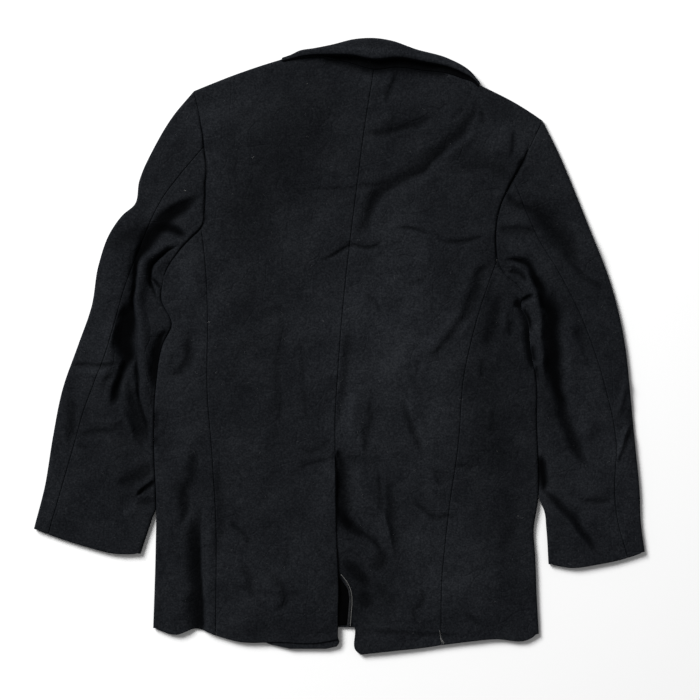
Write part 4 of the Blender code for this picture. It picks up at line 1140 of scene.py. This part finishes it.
def make_sleeve(side, part):
    """The upper or the under sleeve, which meet at the elbow seam and the forearm seam."""
    lines = LINES[side]
    turn = -1 if side == "left" else 1
    armhole, at_tip, at_underarm = armhole_of(side, False)
    upper = part == "upper"
    cloth = Cloth(cloth_height)
    if upper:
        edge = evenly(lines["sleeve_outer"], FINE)
        edge[0] = armhole[0]
        out = outward(edge, turn, first=at_tip)
    else:
        edge = sleeve_inner_edge(side)
        out = outward(edge, -turn, first=at_underarm)
    to_seam = turn * SEAM_GAP / 2 * (1 if upper else -1)
    ring, floor_ring = cloth.round_edge(edge, out)
    cuff = lines["cuff"][::-1] if upper else lines["cuff"]
    for layer, seam_name, place in (
        (ring, "elbow_seam", cloth.on_top),
        (floor_ring, "forearm_seam", cloth.on_floor),
    ):
        on_floor = seam_name == "forearm_seam"
        step = FLOOR_STEP if on_floor else FINE
        seam = shifted(joined(evenly(lines[seam_name], step), armhole), to_seam)
        end = between(cuff, cuff[0], seam[-1])
        hem = evenly(pulled(end, CUFF_CLEAR, 0), FLOOR_CUFF_STEP if on_floor else FINE)[:-1]
        if on_floor:
            arm = floor_armhole(side, armhole)[::-1] if upper else floor_underarm(side, armhole)
        elif upper:
            arm = upper_armhole(side, armhole)[:-1][::-1]
        else:
            arm = np.vstack([middle_armhole(side, armhole)[1:], lower_armhole(side, armhole)[1:]])
        rest = np.vstack([hem, seam[::-1], arm])
        cloth.fill(layer, rest, place, None if on_floor else FINE)
    return cloth.piece(f"wool_{part}_sleeve_{side}", WOOL, f"{part}_sleeve_{side}")


def on_line_at(line, x):
    """The point of a left-to-right line at a given x."""
    return np.array([x, np.interp(x, line[:, 0], line[:, 1])])


def with_cuts(rows, cuts):
    """A right-to-left line with further points in it, in place of its own where they are close."""
    far = [np.min(np.abs(x - np.array(cuts)[:, 0])) > CUT_CLEAR for x in rows[:, 0]]
    rows = np.vstack([rows[far], cuts])
    return rows[np.argsort(-rows[:, 0])]


def make_front(side):
    """A front on the floor. The right one lies over the left one's inside, past the centre line."""
    lines = LINES[side]
    left = side == "left"
    turn = -1 if left else 1
    cloth = Cloth(cloth_height, dome if left else front_right_base)
    armhole = armhole_of(side, True)[0]
    _, out, seam_under = shoulder_of(side)
    shoulder = seam_under - SEAM_GAP * out
    arm = floor_armhole(side, armhole)
    side_seam = joined(evenly(lines["side_seam"], FLOOR_STEP), armhole)
    side_seam = shifted(side_seam, -turn * SEAM_GAP / 2)
    neck = neck_stations()[0][2][::FRONT_STATIONS]
    hem = smooth_line(FRONT_HEM)
    neck_cuts, hem_cuts, creases = [], [], []
    edge_at = -turn * FRONT_OVERLAP
    marks = [edge_at] if left else [edge_at, FRONT_OVERLAP + 1, FRONT_OVERLAP + 1 + RAMP]
    for mark in marks:
        neck_cuts.append(on_line_at(neck, centre_of_front(neck[:, 1].min()) + mark))
        hem_cuts.append(on_line_at(hem, centre_of_front(hem[0, 1]) + mark))
    for top, bottom in zip(neck_cuts[1:], hem_cuts[1:]):
        y = np.linspace(top[1] - CREASE_CLEAR, bottom[1] + CREASE_CLEAR, FRONT_ROWS)
        creases.append(np.column_stack([centre_of_front(y) + marks[len(creases) + 1], y]))
    neck_at, hem_at = neck_cuts[0][0], hem_cuts[0][0]
    if left:
        neck = np.vstack([neck[1:][neck[1:, 0] < neck_at - CUT_CLEAR], neck_cuts[0]])
        hem = evenly(hem[hem[:, 0] < hem_at - FRONT_HEM_CLEAR], FRONT_HEM_STEP)[1:]
        hem = np.vstack([hem, hem_cuts[0]])
    else:
        neck = with_cuts(neck[:-1][neck[:-1, 0] > neck_at + CUT_CLEAR], neck_cuts)
        hem = evenly(hem[hem[:, 0] > hem_at + FRONT_HEM_CLEAR], FRONT_HEM_STEP)[:-1]
        hem = with_cuts(hem, hem_cuts)
    y = np.linspace(neck[-1][1], hem[-1][1], FRONT_ROWS + 1)[1:-1]
    front_edge = np.column_stack([centre_of_front(y) + edge_at, y])
    rest = np.vstack([shoulder, arm[1:], side_seam, hem, front_edge[::-1], neck[::-1]])
    turns = np.linspace(0, 2 * math.pi, DOME_SIDES + 1)
    circle = np.column_stack([np.cos(turns), np.sin(turns)])
    for button in BUTTONS:
        creases += [button + DOME_FLAT * circle, button + DOME_FOOT * circle]
    cloth.fill([], rest, cloth.on_floor, None, creases=creases)
    return cloth.piece(f"wool_front_{side}", WOOL, f"front_{side}")


class Nodes:
    """Adds nodes to a tree and joins them."""

    def __init__(self, tree):
        self.tree = tree
        tree.nodes.clear()

    def add(self, kind, **settings):
        node = self.tree.nodes.new(kind)
        for name, value in settings.items():
            setattr(node, name, value)
        return node

    def join(self, output, *inputs):
        for socket in inputs:
            self.tree.links.new(output, socket)

    def math(self, operation, *values):
        """The outcome of a sum, in which each value is an output or a plain number."""
        node = self.add("ShaderNodeMath", operation=operation)
        for socket, value in zip(node.inputs, values):
            if isinstance(value, (int, float)):
                socket.default_value = value
            else:
                self.join(value, socket)
        return node.outputs[0]


def geometry_tree(name, inputs):
    """A tree that takes and gives geometry, with its named inputs."""
    tree = bpy.data.node_groups.new(name, "GeometryNodeTree")
    nodes = Nodes(tree)
    for way in ("INPUT", "OUTPUT"):
        tree.interface.new_socket(name="Geometry", in_out=way, socket_type="NodeSocketGeometry")
    for label, kind, value in inputs:
        socket = tree.interface.new_socket(name=label, in_out="INPUT", socket_type=kind)
        if value is not None:
            socket.default_value = value
    return tree, nodes, nodes.add("NodeGroupInput")


def round_length(nodes, given, curve):
    """A round length of thread along a curve, thinner at its ends."""
    place = nodes.add("GeometryNodeSplineParameter")
    from_middle = nodes.math("ABSOLUTE", nodes.math("SUBTRACT", place.outputs["Factor"], 0.5))
    near_end = nodes.math("POWER", nodes.math("MULTIPLY", from_middle, 2.0), 5.0)
    taper = nodes.math("SUBTRACT", 1.0, nodes.math("MULTIPLY", near_end, 0.6))
    tapered = nodes.add("GeometryNodeSetCurveRadius")
    nodes.join(curve, tapered.inputs["Curve"])
    nodes.join(taper, tapered.inputs["Radius"])
    section = nodes.add("GeometryNodeCurvePrimitiveCircle")
    nodes.join(given.outputs["Sides"], section.inputs["Resolution"])
    nodes.join(nodes.math("MULTIPLY", given.outputs["Thickness"], 0.5), section.inputs["Radius"])
    skin = nodes.add("GeometryNodeCurveToMesh")
    skin.inputs["Fill Caps"].default_value = True
    nodes.join(tapered.outputs["Curve"], skin.inputs["Curve"])
    nodes.join(section.outputs["Curve"], skin.inputs["Profile Curve"])
    return skin.outputs["Mesh"]


def leave_tree(nodes, given, geometry):
    """The tree's end: real faces of the given material."""
    real = nodes.add("GeometryNodeRealizeInstances")
    coated = nodes.add("GeometryNodeSetMaterial")
    leaving = nodes.add("NodeGroupOutput")
    nodes.join(geometry, real.inputs["Geometry"])
    nodes.join(real.outputs["Geometry"], coated.inputs["Geometry"])
    nodes.join(given.outputs["Material"], coated.inputs["Material"])
    nodes.join(coated.outputs["Geometry"], leaving.inputs["Geometry"])


def make_thread_tree():
    """Threads along the edges of a mesh."""
    tree, nodes, given = geometry_tree("threads_along_edges", [
        ("Thickness", "NodeSocketFloat", 0.0004), ("Sides", "NodeSocketInt", 6),
        ("Material", "NodeSocketMaterial", None),
    ])
    path = nodes.add("GeometryNodeMeshToCurve")
    nodes.join(given.outputs["Geometry"], path.inputs["Mesh"])
    leave_tree(nodes, given, round_length(nodes, given, path.outputs["Curve"]))
    return tree


def make_fibre_tree():
    """Short bent fibres strewn over the faces of a mesh, each turned its own way."""
    tree, nodes, given = geometry_tree("fibres_on_cloth", [
        ("Density", "NodeSocketFloat", 600.0), ("Length", "NodeSocketFloat", 0.003),
        ("Bend", "NodeSocketFloat", 0.001), ("Thickness", "NodeSocketFloat", 0.0001),
        ("Sides", "NodeSocketInt", 4), ("Seed", "NodeSocketInt", 5),
        ("Material", "NodeSocketMaterial", None),
    ])
    strewn = nodes.add("GeometryNodeDistributePointsOnFaces", distribute_method="RANDOM")
    nodes.join(given.outputs["Geometry"], strewn.inputs["Mesh"])
    nodes.join(given.outputs["Density"], strewn.inputs["Density"])
    nodes.join(given.outputs["Seed"], strewn.inputs["Seed"])
    fibre = nodes.add("GeometryNodeCurveQuadraticBezier")
    fibre.inputs["Resolution"].default_value = 5
    for name, share, bent in (("Start", -0.5, 0.0), ("Middle", 0.0, 1.0), ("End", 0.5, 0.0)):
        corner = nodes.add("ShaderNodeCombineXYZ")
        nodes.join(nodes.math("MULTIPLY", given.outputs["Length"], share), corner.inputs["X"])
        nodes.join(nodes.math("MULTIPLY", given.outputs["Bend"], bent), corner.inputs["Y"])
        nodes.join(nodes.math("MULTIPLY", given.outputs["Thickness"], 0.6), corner.inputs["Z"])
        nodes.join(corner.outputs[0], fibre.inputs[name])
    turn = nodes.add("FunctionNodeRandomValue", data_type="FLOAT_VECTOR")
    turn.inputs[0].default_value = (0, 0, 0)
    turn.inputs[1].default_value = (0, 0, 2 * math.pi)
    nodes.join(given.outputs["Seed"], turn.inputs["Seed"])
    turned = nodes.add("FunctionNodeEulerToRotation")
    nodes.join(turn.outputs[0], turned.inputs[0])
    facing = nodes.add("FunctionNodeRotateRotation", rotation_space="LOCAL")
    nodes.join(strewn.outputs["Rotation"], facing.inputs["Rotation"])
    nodes.join(turned.outputs[0], facing.inputs["Rotate By"])
    size = nodes.add("FunctionNodeRandomValue", data_type="FLOAT")
    size.inputs[2].default_value, size.inputs[3].default_value = 0.5, 1.5
    nodes.join(given.outputs["Seed"], size.inputs["Seed"])
    placed = nodes.add("GeometryNodeInstanceOnPoints")
    nodes.join(strewn.outputs["Points"], placed.inputs["Points"])
    nodes.join(round_length(nodes, given, fibre.outputs["Curve"]), placed.inputs["Instance"])
    nodes.join(facing.outputs["Rotation"], placed.inputs["Rotation"])
    nodes.join(size.outputs[1], placed.inputs["Scale"])
    leave_tree(nodes, given, placed.outputs["Instances"])
    return tree


def made_by(tree, name, source, values):
    """The plain mesh that a tree makes of a mesh."""
    obj = bpy.data.objects.new(name, source)
    bpy.context.scene.collection.objects.link(obj)
    modifier = obj.modifiers.new("nodes", "NODES")
    modifier.node_group = tree
    for socket in tree.interface.items_tree:
        if socket.name in values:
            modifier[socket.identifier] = values[socket.name]
    graph = bpy.context.evaluated_depsgraph_get()
    mesh = bpy.data.meshes.new_from_object(obj.evaluated_get(graph), depsgraph=graph)
    obj.modifiers.remove(modifier)
    mesh.materials.clear()
    mesh.materials.append(values["Material"])
    mesh.polygons.foreach_set("material_index", np.zeros(len(mesh.polygons), int))
    obj.data = mesh
    bpy.data.meshes.remove(source)
    return finished(obj)


def make_thread(name, strands, thickness, lift=0.0):
    """Threads on the cloth, each along its points on what lies there."""
    points, edges = [], []
    for strand in strands:
        plan = evenly(smooth_line(strand), 1.2)
        heights = back_right_height(plan) + lift + thickness
        edges += [(len(points) + k, len(points) + k + 1) for k in range(len(plan) - 1)]
        points += list(np.column_stack([plan, heights]))
    mesh = bpy.data.meshes.new(name)
    mesh.from_pydata(in_metres(points), edges, [])
    return made_by(THREADS, name, mesh, {"Thickness": thickness * MM, "Material": THREAD})


def make_fibres(name, pieces, density, seed):
    """Fibres that cling to the nap, on the faces of the pieces that look up."""
    points, faces, count = [], [], 0
    for piece in pieces:
        mesh = piece.data
        where = np.empty(3 * len(mesh.vertices))
        mesh.vertices.foreach_get("co", where)
        corners = np.empty(len(mesh.loops), int)
        mesh.loops.foreach_get("vertex_index", corners)
        where, corners = where.reshape(-1, 3), corners.reshape(-1, 3)
        a, b, c = (where[corners[:, k]] for k in range(3))
        facing = np.cross(b - a, c - a)
        facing /= np.linalg.norm(facing, axis=1)[:, None] + 1e-20
        faces.append(count + corners[(facing[:, 2] > LINT_UP) & (a[:, 2] > LINT_ABOVE * MM)])
        points.append(where)
        count += len(where)
    used, faces = np.unique(np.vstack(faces), return_inverse=True)
    mesh = bpy.data.meshes.new(name)
    mesh.from_pydata(np.vstack(points)[used].tolist(), [], faces.reshape(-1, 3).tolist())
    return made_by(FIBRES, name, mesh, {"Density": density, "Seed": seed, "Material": LINT})


THREADS = make_thread_tree()
FIBRES = make_fibre_tree()


def collar_painted_light(shares, ways):
    """How light the collar's colour is painted, highlight along the roll and shade in its shelter,
    by the shares of the way along it and of the way out.
    """
    shelter = np.interp(shares, *zip(*COLLAR_SHELTER))
    from_roll = ways - SHELTER_OUT
    from_roll = np.where(from_roll < 0, from_roll / shelter, from_roll)
    tone = np.interp(from_roll + SHELTER_OUT, *zip(*COLLAR_PAINTED_LIGHT), left=1.0)
    from_darker = (shares - COLLAR_DARKER_ALONG[0]) / COLLAR_DARKER_ALONG[1]
    return tone * (1 - COLLAR_DARKER * np.exp(-(from_darker**2)) * (np.abs(ways - COLLAR_DARKER_OUT[0]) < COLLAR_DARKER_OUT[1]))


def make_collar():
    """A strip from the back neck seam over the roll and down to the front neck seam."""
    (neck, edge, front), _ = neck_stations()
    shares = along(edge) / along(edge)[-1]
    heights = np.array([back_left_height(neck), back_right_height(neck)]).max(axis=0)
    out = (edge - neck) / np.linalg.norm(edge - neck, axis=1)[:, None]
    start = neck + SEAM_GAP * out
    reach = edge - start
    full = np.sin(math.pi * shares)
    roll = ROLL_END + (ROLL_MIDDLE - ROLL_END) * full**ROLL_POWER
    foot = np.interp(shares, *smooth_line(COLLAR_FOOT, SECTION_STEP).T)
    foot = (foot + FOOT_WAVE * np.sin(shares * FOOT_WAVES) * full)[:, None]
    rise = evenly(smooth_line(COLLAR_RISE, SECTION_STEP), RISE_STEP)
    over = evenly(smooth_line(COLLAR_ROLL, SECTION_STEP), ROLL_STEP)
    columns = [(start, heights - ROUND_DROP)]
    columns += [(start + way * foot * reach, heights + (roll - heights) * up) for way, up in rise]
    columns += [(start + way * reach, roll * up) for way, up in over]
    seam = front + SEAM_GAP * out
    fold = columns[-1][0]
    columns += [(fold + way * (seam - fold), np.zeros(len(fold))) for way in FLOOR_WAYS]
    grid = np.array([np.column_stack(column) for column in columns])
    facing = np.cross(np.gradient(grid, axis=1), np.gradient(grid, axis=0))
    facing /= np.linalg.norm(facing, axis=2)[:, :, None]
    facing[0] = (0, 0, 1)
    facing[-len(FLOOR_WAYS) :] = (0, 0, -1)
    cloth = Cloth(cloth_height)
    ways = np.concatenate([[0], rise[:, 0], over[:, 0], [over[-1, 0]] * len(FLOOR_WAYS)])
    tone = collar_painted_light(shares, ways[:, None])
    rings = [cloth.put(points, points - WALL * ways, shade)
             for points, ways, shade in zip(grid, facing, tone)]
    for ring, following in zip(rings, rings[1:]):
        cloth.strip(ring, following)
    return cloth.piece("wool_collar", WOOL, "collar")


def make_flat(name, outline, top, wall, material, node):
    """A small piece of cloth that lies on or under another, its top given by a function."""
    cloth = Cloth(top, wall=wall)
    cloth.fill([], evenly(np.array(outline + outline[:1], float), FINE)[:-1], cloth.on_top, FINE)
    return cloth.piece(name, material, node)


def under_flap(points):
    """The top of what lies against the flap's wrong side."""
    return back_left_height(points) - WALL - SEAM_GAP


def over_underlap(points):
    """The top of a tape that lies on the underlap's edge."""
    return back_right_height(points) + SEAM_GAP + TAPE_WALL


def over_fronts(points):
    """The top of a lining that lies on the two fronts."""
    return np.full(len(points), 2 * (WALL + SEAM_GAP) + LINING_WALL)


def shader_group(name, inputs, outputs):
    """A shader node group with its named inputs and outputs."""
    group = bpy.data.node_groups.new(name, "ShaderNodeTree")
    socket = group.interface.new_socket
    for label, value in inputs.items():
        made = socket(name=label, in_out="INPUT", socket_type="NodeSocketFloat")
        made.default_value = value
    for label in outputs:
        socket(name=label, in_out="OUTPUT", socket_type="NodeSocketFloat")
    nodes = Nodes(group)
    return group, nodes, nodes.add("NodeGroupInput"), nodes.add("ShaderNodeTexCoord")


def noise_from(nodes, place, size, detail, rough):
    """A noise over some places, with features of about a given size."""
    noise = nodes.add("ShaderNodeTexNoise")
    noise.inputs["Detail"].default_value = detail
    noise.inputs["Roughness"].default_value = rough
    nodes.join(place, noise.inputs["Vector"])
    nodes.join(nodes.math("DIVIDE", 1.0, size), noise.inputs["Scale"])
    return noise.outputs["Fac"]


def make_nap_group():
    """Napped wool: flecks of fibre, small clouds where the nap lies another way, and wide ones."""
    sizes = {"Fleck Size": 0.0025, "Cloud Size": 0.012, "Wide Size": 0.07}
    shares = {"Fleck Share": 0.5, "Cloud Share": 0.3, "Wide Share": 0.2}
    group, nodes, given, place = shader_group(
        "napped_cloth", {**sizes, **shares}, ("Shade", "Height")
    )
    leaving = nodes.add("NodeGroupOutput")
    shade = NOISE_MIDDLE
    for name, detail, rough in (("Fleck", 3.0, 0.65), ("Cloud", 3.0, 0.6), ("Wide", 2.0, 0.5)):
        size, share = given.outputs[f"{name} Size"], given.outputs[f"{name} Share"]
        noise = noise_from(nodes, place.outputs["Object"], size, detail, rough)
        centred = nodes.math("SUBTRACT", noise, NOISE_MIDDLE)
        shade = nodes.math("MULTIPLY_ADD", centred, share, shade)
        if name == "Fleck":
            nodes.join(noise, leaving.inputs["Height"])
    nodes.join(shade, leaving.inputs["Shade"])
    return group


def make_crease_group():
    """Fine creases in pressed cloth: broken lines where a slow noise passes its middle."""
    group, nodes, given, place = shader_group(
        "fine_creases", {"Size": 0.03, "Width": 0.03}, ("Height",)
    )
    heights = []
    for shift, stretch in (((0, 0, 0), (1.0, 0.55, 1)), ((3.1, 1.7, 0), (0.6, 1.0, 1))):
        moved = nodes.add("ShaderNodeMapping")
        moved.inputs["Location"].default_value = shift
        moved.inputs["Scale"].default_value = stretch
        nodes.join(place.outputs["Object"], moved.inputs["Vector"])
        noise = noise_from(nodes, moved.outputs[0], given.outputs["Size"], 2.0, 0.45)
        away = nodes.math("ABSOLUTE", nodes.math("SUBTRACT", noise, NOISE_MIDDLE))
        line = nodes.add("ShaderNodeMapRange", interpolation_type="SMOOTHSTEP")
        nodes.join(away, line.inputs["Value"])
        nodes.join(given.outputs["Width"], line.inputs["From Max"])
        heights.append(line.outputs[0])
    leaving = nodes.add("NodeGroupOutput")
    nodes.join(nodes.math("MINIMUM", *heights), leaving.inputs["Height"])
    return group


def make_cloth_material(name, shares, colours, settings, nap_depth, creases=None, with_painted_shading=False):
    """Cloth: colours over the nap's mottle, painted darker in hollows, its fibres and creases in
    relief.

    Creases are given as their size, width and depth, and cloth with painted shading takes its
    piece's own painted light and shade.
    """
    material = bpy.data.materials.new(name)
    material.use_nodes = True
    nodes = Nodes(material.node_tree)
    leaving = nodes.add("ShaderNodeOutputMaterial")
    shader = nodes.add("ShaderNodeBsdfPrincipled")
    nodes.join(shader.outputs[0], leaving.inputs[0])
    for socket, value in settings.items():
        shader.inputs[socket].default_value = value
    nap = nodes.add("ShaderNodeGroup", node_tree=NAP)
    for socket, value in shares.items():
        nap.inputs[socket].default_value = value
    ramp = nodes.add("ShaderNodeValToRGB")
    while len(ramp.color_ramp.elements) < len(colours):
        ramp.color_ramp.elements.new(0.5)
    for element, (at, colour) in zip(ramp.color_ramp.elements, colours):
        element.position, element.color = at, (*colour, 1)
    nodes.join(nap.outputs["Shade"], ramp.inputs[0])
    colour = ramp.outputs[0]
    # The colour is scaled by the piece's painted light and shade
    if with_painted_shading:
        tone = nodes.add("ShaderNodeAttribute", attribute_name="tone")
        darker = nodes.add("ShaderNodeVectorMath", operation="SCALE")
        nodes.join(colour, darker.inputs[0])
        nodes.join(tone.outputs["Fac"], darker.inputs["Scale"])
        colour = darker.outputs[0]
    nodes.join(colour, shader.inputs["Base Color"])
    relief = nodes.add("ShaderNodeBump")
    relief.inputs["Strength"].default_value = 1.0
    relief.inputs["Distance"].default_value = nap_depth
    nodes.join(nap.outputs["Height"], relief.inputs["Height"])
    if creases:
        lines = nodes.add("ShaderNodeGroup", node_tree=CREASES)
        lines.inputs["Size"].default_value, lines.inputs["Width"].default_value, depth = creases
        folded = nodes.add("ShaderNodeBump")
        folded.inputs["Distance"].default_value = depth
        nodes.join(lines.outputs["Height"], folded.inputs["Height"])
        nodes.join(folded.outputs[0], relief.inputs["Normal"])
    nodes.join(relief.outputs[0], shader.inputs["Normal"])
    return material


NAP = make_nap_group()
CREASES = make_crease_group()
WOOL = make_cloth_material(
    "black_melton_wool",
    {"Fleck Size": 0.0024, "Cloud Size": 0.0075, "Wide Size": 0.05,
     "Fleck Share": 1.5, "Cloud Share": 0.45, "Wide Share": 0.5},
    [(0.1, (0.0031, 0.0034, 0.0043)), (0.5, (0.0077, 0.0085, 0.0101)),
     (0.9, (0.0156, 0.0169, 0.0192))],
    {"Roughness": 0.95, "Specular IOR Level": 0.02, "Sheen Weight": 0.012,
     "Sheen Roughness": 0.6, "Sheen Tint": (0.62, 0.75, 1.0, 1)},
    nap_depth=0.0005, creases=(0.045, 0.022, 0.00034), with_painted_shading=True,
)
# The lining's colours are darker than black satin's: painted shade, for the deep shade in the
# vent's opening where it lies
SATIN = make_cloth_material(
    "satin_lining_darkened_as_shade",
    {"Fleck Size": 0.0015, "Cloud Size": 0.02, "Wide Size": 0.08,
     "Fleck Share": 0.4, "Cloud Share": 0.8, "Wide Share": 0.6},
    [(0.3, (0.0004, 0.0004, 0.0005)), (0.7, (0.0010, 0.0010, 0.0012))],
    {"Roughness": 0.7, "Specular IOR Level": 0.01},
    nap_depth=0.00005,
)
TAPE = make_cloth_material(
    "grey_edge_tape",
    {"Fleck Size": 0.0012, "Cloud Size": 0.005, "Wide Size": 0.03,
     "Fleck Share": 1.2, "Cloud Share": 0.8, "Wide Share": 0.4},
    [(0.2, (0.006, 0.0064, 0.0072)), (0.8, (0.021, 0.0215, 0.023))],
    {"Roughness": 0.85, "Specular IOR Level": 0.1},
    nap_depth=0.0002,
)
THREAD = make_cloth_material(
    "pale_cotton_thread",
    {"Fleck Size": 0.0008, "Cloud Size": 0.004, "Wide Size": 0.02,
     "Fleck Share": 0.8, "Cloud Share": 0.5, "Wide Share": 0.3},
    [(0.2, (0.13, 0.13, 0.128)), (0.8, (0.30, 0.30, 0.29))],
    {"Roughness": 0.8, "Specular IOR Level": 0.2},
    nap_depth=0.0001,
)
LINT = make_cloth_material(
    "grey_lint",
    {"Fleck Size": 0.002, "Cloud Size": 0.02, "Wide Size": 0.05,
     "Fleck Share": 0.6, "Cloud Share": 1.2, "Wide Share": 0.5},
    [(0.3, (0.036, 0.038, 0.041)), (0.7, (0.120, 0.122, 0.126))],
    {"Roughness": 0.9, "Specular IOR Level": 0.1},
    nap_depth=0.00005,
)
HORN = make_cloth_material(
    "black_horn_button",
    {"Fleck Size": 0.002, "Cloud Size": 0.009, "Wide Size": 0.03,
     "Fleck Share": 0.3, "Cloud Share": 0.9, "Wide Share": 0.5},
    [(0.3, (0.008, 0.008, 0.0085)), (0.7, (0.020, 0.019, 0.018))],
    {"Roughness": 0.35, "Specular IOR Level": 0.5},
    nap_depth=0.00005,
)

made = []
for side in ("left", "right"):
    made += [make_back(side), make_side(side)]
    made += [make_sleeve(side, part) for part in ("upper", "under")]
    made.append(make_front(side))
made.append(make_collar())
for flat in (
    ("wool_hem_drop_left", HEM_DROP, under_flap, WALL, WOOL, "hem_drop_left"),
    ("satin_vent_lining", LINING_PATCH, over_fronts, LINING_WALL, SATIN, "vent_lining"),
    ("tape_underlap_edge", EDGE_TAPE, over_underlap, TAPE_WALL, TAPE, None),
):
    made.append(make_flat(*flat))

for node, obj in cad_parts.items():
    if node.startswith("button_"):
        for slot in obj.material_slots:
            slot.material = HORN


make_thread("thread_tape_edge", [TAPE_EDGE], TAPE_THREAD, SEAM_GAP + TAPE_WALL)
make_thread("thread_hem_tuft", HEM_TUFT, TUFT_THREAD)
make_thread("thread_lint", LINT_BITS, LINT_THREAD)
napped = [piece for piece in made if piece.name.startswith("wool_")]
make_fibres("lint_fibres", napped, LINT_DENSITY, LINT_SEED)


def make_floor():
    """White paper just under the coat."""
    mesh = bpy.data.meshes.new("floor")
    corners = [(x, y, PAPER_HEIGHT) for x, y in ((-1, -1), (1, -1), (1, 1), (-1, 1))]
    corners = [(x * PAPER_HALF, y * PAPER_HALF, z) for x, y, z in corners]
    mesh.from_pydata(corners, [], [(0, 1, 2, 3)])
    material = bpy.data.materials.new("white_paper")
    material.use_nodes = True
    shader = material.node_tree.nodes["Principled BSDF"]
    shader.inputs["Base Color"].default_value = (0.9, 0.9, 0.9, 1)
    shader.inputs["Roughness"].default_value = 0.9
    shader.inputs["Specular IOR Level"].default_value = 0.1
    mesh.materials.append(material)
    floor = bpy.data.objects.new("floor", mesh)
    bpy.context.scene.collection.objects.link(floor)


def make_light(name, place, target, size, power):
    """A soft square lamp that shines from its place to its target."""
    light = bpy.data.lights.new(name, "AREA")
    light.shape = "SQUARE"
    light.size, light.energy = size, power
    obj = bpy.data.objects.new(name, light)
    obj.location = place
    obj.rotation_euler = (Vector(target) - Vector(place)).to_track_quat("-Z", "Y").to_euler()
    bpy.context.scene.collection.objects.link(obj)


def make_room():
    """Even white light from all round."""
    world = bpy.data.worlds.new("room")
    world.use_nodes = True
    light = world.node_tree.nodes["Background"].inputs
    light["Color"].default_value, light["Strength"].default_value = (1, 1, 1, 1), ROOM_POWER
    bpy.context.scene.world = world


def make_camera():
    """Straight over the coat, far enough for its lens to take in the width of the view."""
    data = bpy.data.cameras.new("camera")
    data.lens, data.sensor_width, data.clip_end = LENS, SENSOR, CLIP_END
    camera = bpy.data.objects.new("camera", data)
    camera.location = (*VIEW_MIDDLE, VIEW_WIDTH * LENS / SENSOR + VIEW_HEIGHT)
    bpy.context.scene.collection.objects.link(camera)
    bpy.context.scene.camera = camera


make_floor()
make_light("key", KEY_PLACE, (0, 0, 0), KEY_SIZE, KEY_POWER)
make_room()
bpy.context.scene.view_settings.view_transform = "Standard"
make_camera()
